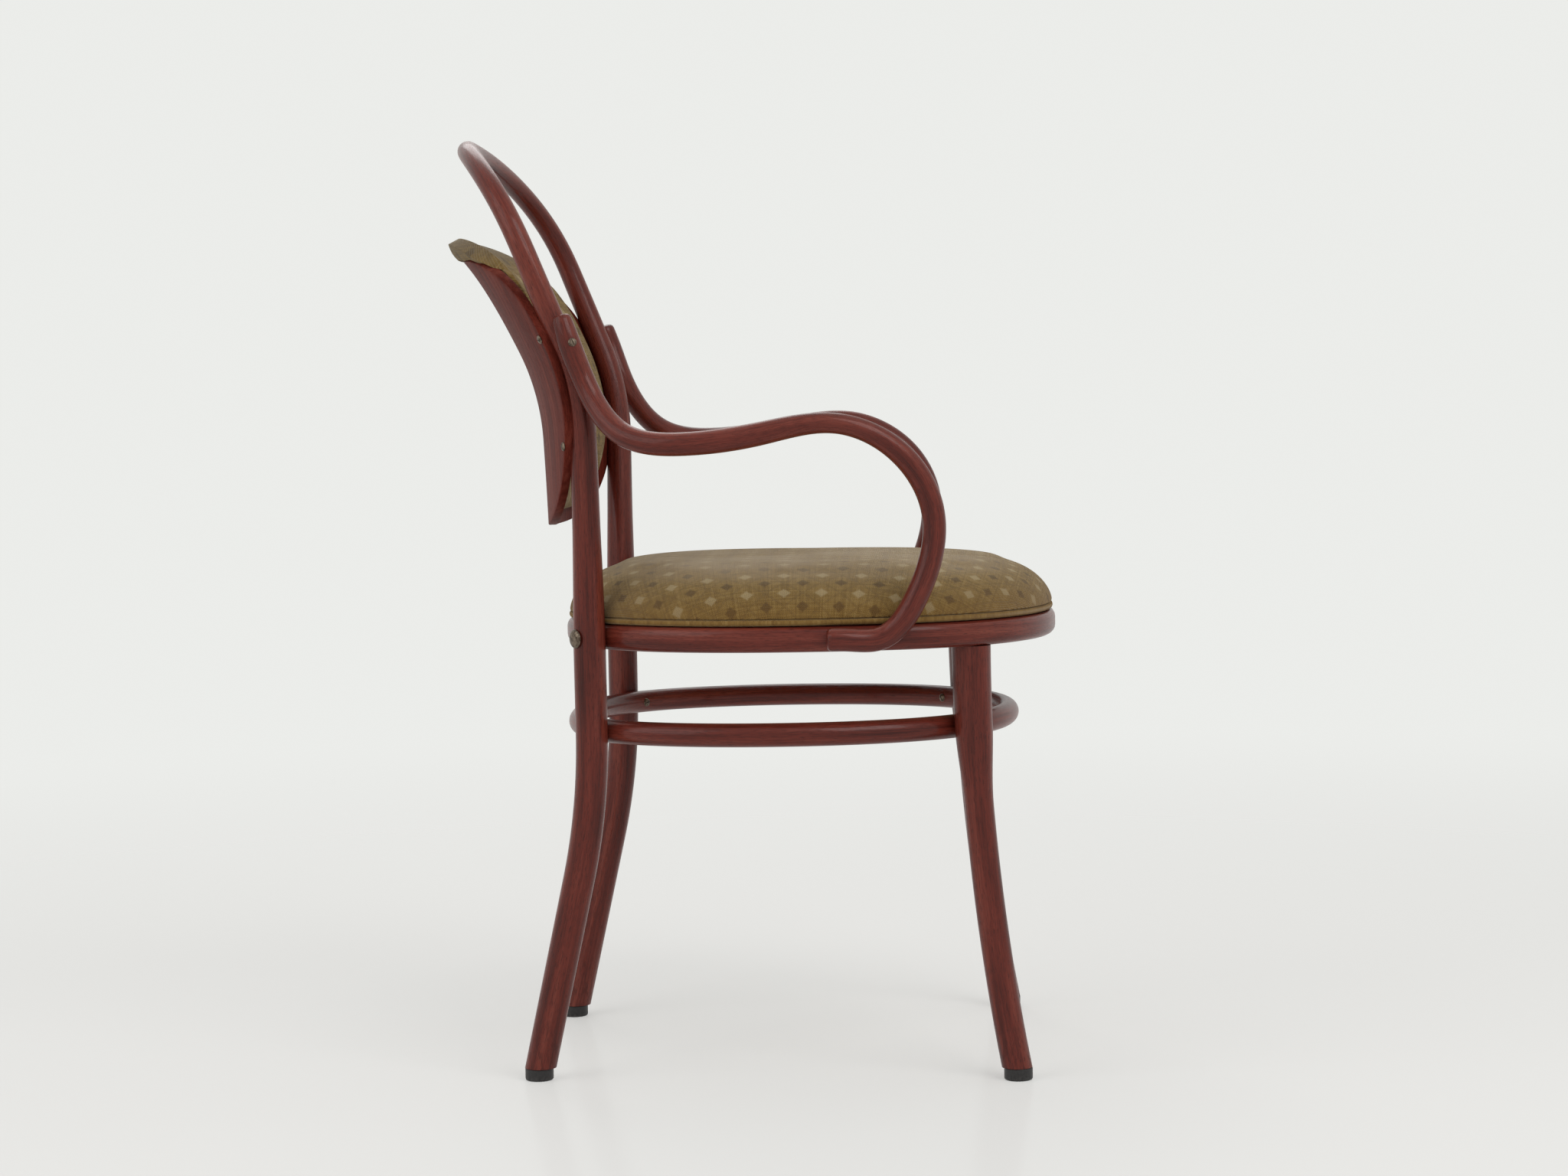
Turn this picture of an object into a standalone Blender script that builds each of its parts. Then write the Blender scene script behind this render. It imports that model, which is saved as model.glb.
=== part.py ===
"""Bentwood armchair with an upholstered seat and back, one object for each piece of the chair.

Metres, +Z up, floor at Z = 0. The chair faces -Y and X = 0 is its plane of symmetry, so the sitter's left
is +X. The pieces are laid out round the middle of the seat. The empty that carries them then puts the middle
of the whole chair over the origin. The seat's half width and half depth, the height of its rim and the height
of the hoop are the main sizes, and most places follow from them.
"""

from math import asin, atan2, cos, pi, radians, sin, sqrt, tan

import bmesh
import bpy
import numpy as np
from mathutils import Vector

# Main sizes
SEAT_HALF_WIDTH = 0.229
SEAT_HALF_DEPTH = 0.2285
RIM_BOTTOM = 0.389
HOOP_TOP_HEIGHT = 0.847  # of the arch's middle line

# Fits
GAP = 0.0003  # between two pieces that touch
HOLE_CLEARANCE = 0.0003  # round a screw, a bolt, a pin or a tenon
SEAT_REACH = 0.040  # how far a rod's cutter runs past the piece that it cuts
FOOT_EXCESS = 0.020  # how far the legs run below the floor before they are cut level
JOINT_NEST = 0.0020  # how deep a round rod is let into the piece that it is fixed to
WELD = 1e-6  # points closer than this are one
SLOPE_STEP = 0.001  # over which a slope is measured
SHARP_ANGLE = radians(40.0)  # edges sharper than this stay sharp

# Seat: a bent rim, a plywood board on it, and the upholstery
SEAT_SQUARENESS = 2.35  # 2 is an ellipse, more is squarer
RIM_HEIGHT = 0.023
RIM_WIDTH = 0.040
RIM_OUTER_ROUND = 0.008
RIM_INNER_ROUND = 0.003
BOARD_THICKNESS = 0.010
BOARD_INSET = 0.014  # board's edge inside the rim's outer edge
CUSHION_HEIGHT = 0.053
CUSHION_INSET = 0.0025  # widest line of the cushion inside the rim's outer edge
CUSHION_BULGE_HEIGHT = 0.007
CUSHION_CROWN_POWER = 7.0  # more is flatter on top
CUSHION_NOSE_POWER = 0.625  # less is blunter at the edge
WELT_RADIUS = 0.003
WELT_INSET = 0.005  # middle of the welt inside the rim's outer edge

# Back hoop: both rear legs and the arch of the back in one bent rod
REAR_LEG_BEARING = radians(140.0)  # round the seat from its front
REAR_FOOT_INSET = 0.0735  # of a foot's middle inside the seat's side
REAR_FOOT_HALF_SPREAD = SEAT_HALF_WIDTH - REAR_FOOT_INSET
REAR_RAKE = radians(12.8)
REAR_RAKE_RADIUS = 0.600
REAR_RAKE_START = 0.315
BACK_LEAN = radians(21.5)
BACK_LEAN_RADIUS = 0.240
BACK_LEAN_START = 0.578
ARCH_RISE = 0.1083  # of the arch above its shoulders
SHOULDER_HEIGHT = HOOP_TOP_HEIGHT - ARCH_RISE
SHOULDER_INSET = 0.039
SHOULDER_HALF_WIDTH = SEAT_HALF_WIDTH - SHOULDER_INSET
HOOP_PLAN_RADIUS = 0.634  # of the arch's bow to the rear
ARCH_SQUARENESS = 2.35
REAR_FOOT_RADIUS = 0.0141
REAR_LEG_RADIUS = 0.0147
POST_RADIUS = 0.0127
POST_HEIGHT = 0.500
ARCH_RADIUS = 0.0096

# Front legs
FRONT_LEG_BEARING = radians(48.0)
FRONT_LEG_SPLAY = 0.014
FRONT_LEG_SWEEP = 0.037
FRONT_LEG_TOP_RADIUS = 0.0178
FRONT_LEG_SWELL_RADIUS = 0.0166
FRONT_LEG_RADIUS = 0.0132
FRONT_FOOT_RADIUS = 0.0136
SWELL_BOTTOM = 0.245
SWELL_TOP = 0.318
TENON_RADIUS = 0.009
TENON_LENGTH = 0.016
TENON_ROOT = 0.010  # of the tenon inside the leg

# Stretcher ring, bent to lie against the insides of the four legs
STRETCHER_HEIGHT = 0.3146
STRETCHER_RADIUS = 0.01075
STRETCHER_SETBACK = 0.018  # its middle behind the seat's
STRETCHER_INSET = 0.0278  # its middle line inside the seat's edge
STRETCHER_HALF_DEPTH = SEAT_HALF_DEPTH - STRETCHER_INSET
STRETCHER_HALF_WIDTH = SEAT_HALF_WIDTH - STRETCHER_INSET

# Arms
ARM_RADIUS = 0.0104
ARM_CREST_RADIUS = 0.0091
ARM_TOP_RADIUS = 0.0086
ARM_TOP_HEIGHT = 0.688
ARM_JOINT_HEIGHT = 0.664
ARM_TOP_ADVANCE = 0.0105  # forward of the hoop at the arm's upper end
ARM_JOINT_ADVANCE = 0.008
ARM_LEAVE_HEIGHT = 0.636  # where it leaves the hoop
ARM_LEAVE_ADVANCE = 0.009
ARM_DIP_HEIGHT = 0.5735
ARM_DIP_ADVANCE = -0.100  # forward of the seat's middle
ARM_CREST_HEIGHT = 0.589
ARM_CREST_ADVANCE = 0.032
ARM_TURN_HEIGHT = 0.582
ARM_TURN_ADVANCE = -0.153
ARM_TURN_INSET = 0.001
ARM_TURN_HALF_SPREAD = SEAT_HALF_WIDTH - ARM_TURN_INSET
ARM_KNEE_HEIGHT = 0.556
ARM_KNEE_ADVANCE = 0.093
ARM_FRONT_ADVANCE = 0.114
ARM_FRONT_HEIGHT = 0.515
ARM_BOW_REACH = 0.017  # of the arm's middle line past the seat's side
ARM_BOW = SEAT_HALF_WIDTH + ARM_BOW_REACH
ARM_FRONT_REACH = 0.004
ARM_FRONT_HALF_SPREAD = SEAT_HALF_WIDTH + ARM_FRONT_REACH
ARM_SWEEP_HEIGHT = 0.438
ARM_SWEEP_ADVANCE = 0.100
ARM_FOOT_BEARINGS = (radians(74.0), radians(81.0))  # of its two screws
ARM_END_BEARING = radians(85.0)

# Back panel: moulded plywood behind the posts, with the upholstered pad on its front
PANEL_THICKNESS = 0.008
PANEL_BOTTOM = 0.498
PANEL_DROP = 0.098  # of its top below the arch's middle line
PANEL_TOP = HOOP_TOP_HEIGHT - PANEL_DROP
PANEL_OVERLAP = 0.010  # past the middle line of each post
PANEL_SQUARENESS = 3.2
PANEL_LOW_RADIUS = 0.460  # of its bend in plan, at its foot and at its top
PANEL_TOP_RADIUS = 0.310
PANEL_FLARE_POWER = 4.0  # more keeps the tighter bend to the top
PAD_FOOT_RISE = 0.014  # of the pad's foot above the panel's
PAD_BOTTOM = PANEL_BOTTOM + PAD_FOOT_RISE
PAD_TOP_RISE = 0.017
PAD_TOP = PANEL_TOP + PAD_TOP_RISE
PAD_SIDE_GAP = 0.006  # between the pad and each post
PAD_EDGE_THICKNESS = 0.006
PAD_BACK_DEPTH = 0.0075  # of the pad's back behind the panel's front face
PAD_CROWN = 0.014
PAD_CROWN_POWER = 4.0
PANEL_SCREW_SHARE = 0.2  # of the panel's height, above and below its middle
PANEL_SCREW_RISE = (PANEL_TOP - PANEL_BOTTOM) * PANEL_SCREW_SHARE

# Hardware
SCREW_RADIUS = 0.0020
SCREW_HEAD_RADIUS = 0.0040
SCREW_HEAD_HEIGHT = 0.0022
SCREW_FLAT_DEPTH = 0.001  # of the flat under a head on a rod
SCREW_BITE = 0.0130  # of a screw in the piece that it holds
BOARD_SCREW_BITE = 0.0070
BOARD_SCREW_INSET = 0.027
BOARD_SCREW_BEARINGS = (radians(20.0), radians(160.0))
BOLT_RADIUS = 0.0030
BOLT_HEAD_RADIUS = 0.0085
BOLT_HEAD_HEIGHT = 0.0032
BOLT_END = 0.0030  # past its nut
SPOT_FACE_DEPTH = 0.001  # a flat for the washer on the rim's inner side
WASHER_RADIUS = 0.0085
WASHER_THICKNESS = 0.0015
NUT_RADIUS = 0.0065
NUT_HEIGHT = 0.0050
NUT_SIDES = 6
GLIDE_RADIUS = 0.0128
GLIDE_HEIGHT = 0.011
GLIDE_EDGE = 0.0020
GLIDE_PIN_RADIUS = 0.0016
GLIDE_PIN_LENGTH = 0.014

# Facets
ROD_SIDES = 12
WELT_SIDES = 6
SEAT_STEPS = 56
CUSHION_RINGS = 10
HOOP_LEG_STEPS = 30
HOOP_ARCH_STEPS = 12
FRONT_LEG_STEPS = 22
STRETCHER_STEPS = 64
ARM_STEPS = 46
PANEL_GRID = (20, 14)
PAD_GRID = (18, 12)
TURNED_STEPS = 10
FLOOR_CUTTER_SIZE = 1.0

SIDES = {"left": 1, "right": -1}
RIM_TOP = RIM_BOTTOM + RIM_HEIGHT
RIM_MIDDLE = RIM_BOTTOM + RIM_HEIGHT / 2
SEAT_BASE = RIM_TOP + GAP
UP = Vector((0, 0, 1))


def clear_scene():
    for thing in list(bpy.data.objects):
        bpy.data.objects.remove(thing, do_unlink=True)


def new_collection(name):
    collection = bpy.data.collections.new(name)
    bpy.context.scene.collection.children.link(collection)
    return collection


clear_scene()
PARTS = new_collection("bentwood_armchair")
CUTTERS = new_collection("cutters")
CHAIR = bpy.data.objects.new("chair_origin", None)
PARTS.objects.link(CHAIR)


def finish(name, colour, roughness, metallic=0.0, coat=0.0):
    material = bpy.data.materials.new(name)
    material.use_nodes = True
    shader = material.node_tree.nodes["Principled BSDF"]
    shader.inputs["Base Color"].default_value = (*colour, 1.0)
    shader.inputs["Roughness"].default_value = roughness
    shader.inputs["Metallic"].default_value = metallic
    shader.inputs["Coat Weight"].default_value = coat
    return material


BENTWOOD = finish("stained_beech", (0.105, 0.022, 0.014), 0.35, coat=0.5)
PLYWOOD = finish("stained_plywood", (0.115, 0.027, 0.017), 0.40, coat=0.3)
RAW_PLYWOOD = finish("raw_plywood", (0.42, 0.29, 0.17), 0.75)
FABRIC = finish("olive_fabric", (0.220, 0.152, 0.060), 0.90)
STEEL = finish("browned_steel", (0.150, 0.115, 0.088), 0.45, metallic=1.0)
GLIDE_PLASTIC = finish("glide_plastic", (0.018, 0.015, 0.014), 0.50)


def add_part(name, mesh, material):
    """Put a closed mesh into the chair, shaded round with its sharp edges kept."""
    mesh.name = name
    mesh.materials.clear()
    mesh.materials.append(material)
    mesh.shade_smooth()
    mesh.set_sharp_from_angle(angle=SHARP_ANGLE)
    part = bpy.data.objects.new(name, mesh)
    part.parent = CHAIR
    PARTS.objects.link(part)
    return part


def add_cutter(name, mesh):
    cutter = bpy.data.objects.new(name, mesh)
    cutter.parent = CHAIR
    cutter.hide_render = True
    cutter.display_type = "WIRE"
    CUTTERS.objects.link(cutter)
    return cutter


def boolean(part, other, operation="DIFFERENCE"):
    modifier = part.modifiers.new(other.name, "BOOLEAN")
    modifier.operation = operation
    modifier.solver = "EXACT"
    modifier.object = other


def close_mesh(bm, name):
    """Weld a bmesh, face it outwards and turn it into a mesh."""
    bmesh.ops.remove_doubles(bm, verts=bm.verts, dist=WELD)
    bmesh.ops.recalc_face_normals(bm, faces=bm.faces)
    mesh = bpy.data.meshes.new(name)
    bm.to_mesh(mesh)
    bm.free()
    return mesh


def smooth_path(knots, count, first=0, last=-1):
    """Points on the smoothest curve through the knots, evenly spaced from one knot to another.

    It is a natural cubic spline over the chord length, and works on any number of columns.
    """
    knots = np.asarray(knots, float)
    chord = np.linalg.norm(np.diff(knots[:, :3], axis=0), axis=1)
    place = np.concatenate([[0.0], np.cumsum(chord)])
    slope = np.diff(knots, axis=0) / chord[:, None]
    system = np.eye(len(place))
    wanted = np.zeros_like(knots)
    for i in range(1, len(chord)):
        system[i, i - 1 : i + 2] = chord[i - 1], 2 * (chord[i - 1] + chord[i]), chord[i]
        wanted[i] = 6 * (slope[i] - slope[i - 1])
    bend = np.linalg.solve(system, wanted)
    at = np.linspace(place[first], place[last], count)
    span = np.searchsorted(place[1:-1], at, side="right")
    width = chord[span][:, None]
    before = (place[span + 1] - at)[:, None]
    after = (at - place[span])[:, None]
    curve = (bend[span] * before**3 + bend[span + 1] * after**3) / (6 * width)
    curve += (knots[span] / width - bend[span] * width / 6) * before
    curve += (knots[span + 1] / width - bend[span + 1] * width / 6) * after
    return curve


def rod_mesh(name, points, radii, closed=False, sides=ROD_SIDES):
    """A round rod along the points, with its own radius at each of them."""
    curve = bpy.data.curves.new(name, "CURVE")
    curve.dimensions = "3D"
    curve.bevel_depth = 1.0
    curve.bevel_resolution = (sides - 4) // 2
    curve.use_fill_caps = not closed
    curve.twist_mode = "Z_UP" if closed else "MINIMUM"
    spline = curve.splines.new("POLY")
    spline.points.add(len(points) - 1)
    spline.use_cyclic_u = closed
    for knot, point, radius in zip(spline.points, points, radii):
        knot.co = (*point, 1.0)
        knot.radius = radius
    guide = bpy.data.objects.new(name, curve)
    CUTTERS.objects.link(guide)
    graph = bpy.context.evaluated_depsgraph_get()
    bm = bmesh.new()
    bm.from_mesh(bpy.data.meshes.new_from_object(guide.evaluated_get(graph)))
    bpy.data.objects.remove(guide)
    return close_mesh(bm, name)


def turned_mesh(name, profile, steps=TURNED_STEPS, closed=False):
    """A shape turned round Z from a profile of (radius, height)."""
    bm = bmesh.new()
    verts = [bm.verts.new((radius, 0, height)) for radius, height in profile]
    edges = [bm.edges.new(pair) for pair in zip(verts, verts[1:])]
    if closed:
        edges.append(bm.edges.new((verts[-1], verts[0])))
    bmesh.ops.spin(bm, geom=verts + edges, axis=UP, cent=(0, 0, 0), angle=2 * pi, steps=steps)
    return close_mesh(bm, name)


def turned_part(name, profile, place, direction, material, steps=TURNED_STEPS, closed=False):
    """A turned piece with its origin at a place and its -Z axis along a direction."""
    part = add_part(name, turned_mesh(name, profile, steps, closed), material)
    part.location = place
    part.rotation_euler = Vector(direction).to_track_quat("-Z", "Y").to_euler()
    return part


def cylinder(bm, radius, length, middle, sides):
    """Add an upright cylinder to a bmesh."""
    ends = {"radius1": radius, "radius2": radius}
    rod = bmesh.ops.create_cone(bm, cap_ends=True, segments=sides, depth=length, **ends)
    bmesh.ops.translate(bm, verts=rod["verts"], vec=middle)


def drill(name, place, direction, radius, depth, before, parts):
    """A round hole from before a place to a depth past it, cut out of each of the parts.

    Its flats lie at the radius, so that a shaft with other sides is clear of them.
    """
    bm = bmesh.new()
    length = before + depth
    corner = radius / cos(pi / TURNED_STEPS)
    cylinder(bm, corner, length, Vector((0, 0, before - length / 2)), TURNED_STEPS)
    cutter = add_cutter(name, close_mesh(bm, name))
    cutter.location = place
    cutter.rotation_euler = Vector(direction).to_track_quat("-Z", "Y").to_euler()
    for part in parts:
        boolean(part, cutter)


def dome(radius, height, steps):
    """The round top of a head, as (radius, height) points from its middle down to its edge."""
    return [(radius * sin(turn), height * cos(turn)) for turn in np.linspace(0, pi / 2, steps + 1)]


def screw_part(name, place, direction, length, parts, on_rod=False):
    """A round-headed screw with the flat of its head at a place, in a hole through the parts.

    On a rod, the first part also gets a small flat under the head.
    """
    shank = [(SCREW_RADIUS, 0.0), (SCREW_RADIUS, SCREW_RADIUS * 2 - length), (0.0, -length)]
    turned_part(name, dome(SCREW_HEAD_RADIUS, SCREW_HEAD_HEIGHT, 2) + shank, place, direction, STEEL)
    depth = length + HOLE_CLEARANCE
    drill(name + "_hole", place, direction, SCREW_RADIUS + HOLE_CLEARANCE, depth, SCREW_HEAD_HEIGHT, parts)
    if on_rod:
        flat = SCREW_HEAD_RADIUS + HOLE_CLEARANCE
        drill(name + "_flat", place, direction, flat, GAP, SCREW_BITE, parts[:1])


def mirrored(point, side):
    return Vector((point[0] * side, point[1], point[2]))


def seat_reach(bearing):
    """How far the seat's edge lies from its middle."""
    across = abs(sin(bearing)) / SEAT_HALF_WIDTH
    along = abs(cos(bearing)) / SEAT_HALF_DEPTH
    return (across**SEAT_SQUARENESS + along**SEAT_SQUARENESS) ** (-1 / SEAT_SQUARENESS)


def seat_point(bearing, inset=0.0, height=0.0):
    reach = seat_reach(bearing) * (1 - inset / SEAT_HALF_WIDTH)
    return Vector((reach * sin(bearing), -reach * cos(bearing), height))


def seat_normal(bearing):
    """The outward direction, square to the seat's edge."""
    step = radians(0.5)
    along = seat_point(bearing + step) - seat_point(bearing - step)
    return Vector((along.y, -along.x, 0)).normalized()


def rim_depth(bearing):
    """How thick the rim is, square to its edge."""
    return (seat_point(bearing) - seat_point(bearing, RIM_WIDTH)).dot(seat_normal(bearing))


def on_seat(name, profile, closed=False):
    """A profile of (distance from the middle, height) carried round the outline of the seat."""
    mesh = turned_mesh(name, profile, SEAT_STEPS, closed)
    for vertex in mesh.vertices:
        scale = seat_reach(atan2(vertex.co.x, -vertex.co.y)) / SEAT_HALF_WIDTH
        vertex.co.x *= scale
        vertex.co.y *= scale
    bm = bmesh.new()
    bm.from_mesh(mesh)
    return close_mesh(bm, name)


def round_corner(centre, radius, start, steps=3):
    """A quarter turn of (distance, height) points, clockwise from the start angle."""
    turns = [start - pi / 2 * i / (steps - 1) for i in range(steps)]
    return [(centre[0] + radius * cos(turn), centre[1] + radius * sin(turn)) for turn in turns]


def rim_profile(grow=0.0):
    """The rim's section, from its top inner corner outwards and down, made larger all round by grow."""
    outer = SEAT_HALF_WIDTH + grow
    inner = SEAT_HALF_WIDTH - RIM_WIDTH - grow
    top = RIM_TOP + grow
    bottom = RIM_BOTTOM - grow
    large = RIM_OUTER_ROUND + grow
    small = RIM_INNER_ROUND + grow
    return (
        round_corner((inner + small, top - small), small, pi)
        + round_corner((outer - large, top - large), large, pi / 2)
        + round_corner((outer - large, bottom + large), large, 0)
        + round_corner((inner + small, bottom + small), small, -pi / 2)
    )


REAR_LEG_NORMAL = seat_normal(REAR_LEG_BEARING)
REAR_LEG_AT_RIM = seat_point(REAR_LEG_BEARING) + REAR_LEG_NORMAL * (REAR_LEG_RADIUS - JOINT_NEST)


def bend(run, angle, radius):
    """How far a rod swings off its first line after a run along it, in a bend of an angle and a radius."""
    turned = radius * sin(angle)
    if run < turned:
        return radius - sqrt(radius**2 - run**2)
    return radius * (1 - cos(angle)) + (run - turned) * tan(angle)


def lean_at(height):
    """The slope of the back at a height, as an angle off the vertical."""
    run = min(max(height - BACK_LEAN_START, 0.0), BACK_LEAN_RADIUS * sin(BACK_LEAN))
    return asin(run / BACK_LEAN_RADIUS)


def post_radius(height):
    heights = (0.0, RIM_MIDDLE, POST_HEIGHT, HOOP_TOP_HEIGHT)
    return float(np.interp(height, heights, (REAR_FOOT_RADIUS, REAR_LEG_RADIUS, POST_RADIUS, ARCH_RADIUS)))


def post_half_spread(height):
    """Half the distance between the two rear legs, or posts, at a height below the shoulders."""
    if height < RIM_TOP:
        share = height / RIM_MIDDLE
        return REAR_FOOT_HALF_SPREAD + (REAR_LEG_AT_RIM.x - REAR_FOOT_HALF_SPREAD) * min(share, 1.0)
    share = (height - RIM_TOP) / (SHOULDER_HEIGHT - RIM_TOP)
    return REAR_LEG_AT_RIM.x + (SHOULDER_HALF_WIDTH - REAR_LEG_AT_RIM.x) * (1 - cos(pi * min(share, 1.0))) / 2


def post_setback(height):
    """How far a post lies behind the middle of the seat."""
    setback = REAR_LEG_AT_RIM.y
    if height < REAR_RAKE_START:
        setback += bend(REAR_RAKE_START - height, REAR_RAKE, REAR_RAKE_RADIUS)
    if height > BACK_LEAN_START:
        setback += bend(height - BACK_LEAN_START, BACK_LEAN, BACK_LEAN_RADIUS)
    return setback


def post_point(height):
    return Vector((post_half_spread(height), post_setback(height), height))


def hoop_half():
    """The left half of the hoop's middle line, from below the floor up to the shoulder and along the arch."""
    heights = np.linspace(-FOOT_EXCESS, SHOULDER_HEIGHT, HOOP_LEG_STEPS, endpoint=False)
    half = [post_point(height) for height in heights]
    for turn in np.linspace(0, pi / 2, HOOP_ARCH_STEPS + 1):
        height = SHOULDER_HEIGHT + ARCH_RISE * sin(turn) ** (2 / ARCH_SQUARENESS)
        across = SHOULDER_HALF_WIDTH * max(cos(turn), 0.0) ** (2 / ARCH_SQUARENESS)
        bow = (SHOULDER_HALF_WIDTH**2 - across**2) / (2 * HOOP_PLAN_RADIUS)
        half.append(Vector((across, post_setback(height) + bow, height)))
    return half


def clearance_radius(radius):
    """A faceted cutter's radius, so that even its flats keep the gap from a rod."""
    return (radius + GAP) / cos(pi / ROD_SIDES)


def post_clearance(name, side, bottom, top):
    """A stretch of the hoop, larger by the gap, that cuts its seat into a neighbour."""
    points = [mirrored(point, side) for point in hoop_half() if bottom < point.z < top]
    radii = [clearance_radius(post_radius(point.z)) for point in points]
    return add_cutter(name, rod_mesh(name, points, radii))


def floor_cutter():
    """Everything below the tops of the glides, to cut the feet off level."""
    bm = bmesh.new()
    bmesh.ops.create_cube(bm, size=FLOOR_CUTTER_SIZE)
    bmesh.ops.translate(bm, verts=bm.verts, vec=(0, 0, GLIDE_HEIGHT + GAP - FLOOR_CUTTER_SIZE / 2))
    return add_cutter("floor_cutter", close_mesh(bm, "floor_cutter"))


def add_glide(name, foot, leg):
    """A nailed glide under a foot: a dark disc with its edge rounded, and its pin up in the leg."""
    profile = [
        (0.0, GLIDE_HEIGHT + GLIDE_PIN_LENGTH),
        (GLIDE_PIN_RADIUS, GLIDE_HEIGHT + GLIDE_PIN_LENGTH),
        (GLIDE_PIN_RADIUS, GLIDE_HEIGHT),
        (GLIDE_RADIUS, GLIDE_HEIGHT),
        (GLIDE_RADIUS, GLIDE_EDGE),
        (GLIDE_RADIUS - GLIDE_EDGE, 0.0),
        (0.0, 0.0),
    ]
    place = Vector((foot.x, foot.y, 0))
    turned_part(name, profile, place, -UP, GLIDE_PLASTIC, steps=2 * TURNED_STEPS)
    top = place + UP * (GLIDE_HEIGHT + GLIDE_PIN_LENGTH + HOLE_CLEARANCE)
    drill(name + "_hole", top, -UP, GLIDE_PIN_RADIUS + HOLE_CLEARANCE, GLIDE_PIN_LENGTH * 2, 0.0, [leg])


def add_seat():
    """The rim, the board, the cushion and the welt at its foot."""
    rim = add_part("seat_rim", on_seat("seat_rim", rim_profile(), closed=True), BENTWOOD)
    board_edge = SEAT_HALF_WIDTH - BOARD_INSET
    board_top = SEAT_BASE + BOARD_THICKNESS
    board_profile = [(0, board_top), (board_edge, board_top), (board_edge, SEAT_BASE), (0, SEAT_BASE)]
    board = add_part("seat_board", on_seat("seat_board", board_profile), RAW_PLYWOOD)

    widest = SEAT_HALF_WIDTH - CUSHION_INSET
    base = SEAT_HALF_WIDTH - WELT_INSET - WELT_RADIUS - GAP
    bulge = SEAT_BASE + CUSHION_BULGE_HEIGHT
    crown_height = CUSHION_HEIGHT - CUSHION_BULGE_HEIGHT
    crown = []
    for share in np.sin(np.linspace(0, pi / 2, CUSHION_RINGS)):
        rise = crown_height * (1 - share**CUSHION_CROWN_POWER) ** CUSHION_NOSE_POWER
        crown.append((widest * share, bulge + rise))
    pocket = board_edge + GAP
    pocket_top = board_top + GAP
    foot = [(base, SEAT_BASE + 2 * WELT_RADIUS), (base, SEAT_BASE), (pocket, SEAT_BASE), (pocket, pocket_top)]
    add_part("seat_cushion", on_seat("seat_cushion", crown + foot + [(0, pocket_top)]), FABRIC)

    middle = (SEAT_HALF_WIDTH - WELT_INSET, SEAT_BASE + WELT_RADIUS)
    turns = [-2 * pi * i / WELT_SIDES for i in range(WELT_SIDES)]
    welt = [(middle[0] + WELT_RADIUS * cos(turn), middle[1] + WELT_RADIUS * sin(turn)) for turn in turns]
    piping = add_part("seat_welt", on_seat("seat_welt", welt, closed=True), FABRIC)

    for name, side in SIDES.items():
        for where, bearing in zip(("front", "rear"), BOARD_SCREW_BEARINGS):
            place = mirrored(seat_point(bearing, BOARD_SCREW_INSET, RIM_BOTTOM - GAP), side)
            length = RIM_HEIGHT + BOARD_SCREW_BITE
            screw_part(f"board_screw_{where}_{name}", place, UP, length, [rim, board])
    return rim, piping


def add_hoop(rim, welt, floor):
    """The bent rod of the rear legs and the back, bolted to the rim, with its two glides."""
    half = hoop_half()
    path = half + [mirrored(point, -1) for point in reversed(half[:-1])]
    radii = [post_radius(point.z) for point in path]
    hoop = add_part("back_hoop", rod_mesh("back_hoop", path, radii), BENTWOOD)
    boolean(hoop, floor)
    for name, side in SIDES.items():
        seat = post_clearance(f"rim_seat_{name}", side, RIM_BOTTOM - SEAT_REACH, RIM_TOP + SEAT_REACH)
        boolean(rim, seat)
        boolean(welt, seat)
        centre = mirrored(post_point(RIM_MIDDLE), side)
        inward = mirrored(-REAR_LEG_NORMAL, side)
        wall = REAR_LEG_RADIUS - JOINT_NEST + rim_depth(REAR_LEG_BEARING)
        flat = wall - SPOT_FACE_DEPTH
        washer_at = flat + GAP
        nut_at = washer_at + WASHER_THICKNESS + GAP
        head = centre - inward * (REAR_LEG_RADIUS + GAP)
        length = REAR_LEG_RADIUS + GAP + nut_at + NUT_HEIGHT + BOLT_END
        shank = [(BOLT_RADIUS, 0.0), (BOLT_RADIUS, -length), (0.0, -length)]
        bolt = dome(BOLT_HEAD_RADIUS, BOLT_HEAD_HEIGHT, 3) + shank
        turned_part(f"rear_bolt_{name}", bolt, head, inward, STEEL, steps=2 * TURNED_STEPS)
        hole = BOLT_RADIUS + HOLE_CLEARANCE
        drill(f"rear_bolt_hole_{name}", head, inward, hole, length, BOLT_HEAD_HEIGHT, [hoop, rim])
        spot = centre + inward * flat
        drill(f"spot_face_{name}", spot, inward, WASHER_RADIUS + HOLE_CLEARANCE, SEAT_REACH, 0.0, [rim])
        bore = hole / cos(pi / NUT_SIDES)
        for piece, start, size, thick, steps in (
            ("washer", washer_at, WASHER_RADIUS, WASHER_THICKNESS, 2 * TURNED_STEPS),
            ("nut", nut_at, NUT_RADIUS, NUT_HEIGHT, NUT_SIDES),
        ):
            ring = [(bore, 0.0), (size, 0.0), (size, -thick), (bore, -thick)]
            place = centre + inward * start
            turned_part(f"rear_{piece}_{name}", ring, place, inward, STEEL, steps, closed=True)
        add_glide(f"glide_rear_{name}", mirrored(post_point(GLIDE_HEIGHT / 2), side), hoop)
    return hoop


def front_leg_point(height):
    """The middle line of the left front leg, which sweeps forwards and out towards the floor."""
    top = seat_point(FRONT_LEG_BEARING, RIM_WIDTH / 2)
    drop = ((RIM_BOTTOM - height) / RIM_BOTTOM) ** 2
    return Vector((top.x + FRONT_LEG_SPLAY * drop, top.y - FRONT_LEG_SWEEP * drop, height))


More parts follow.
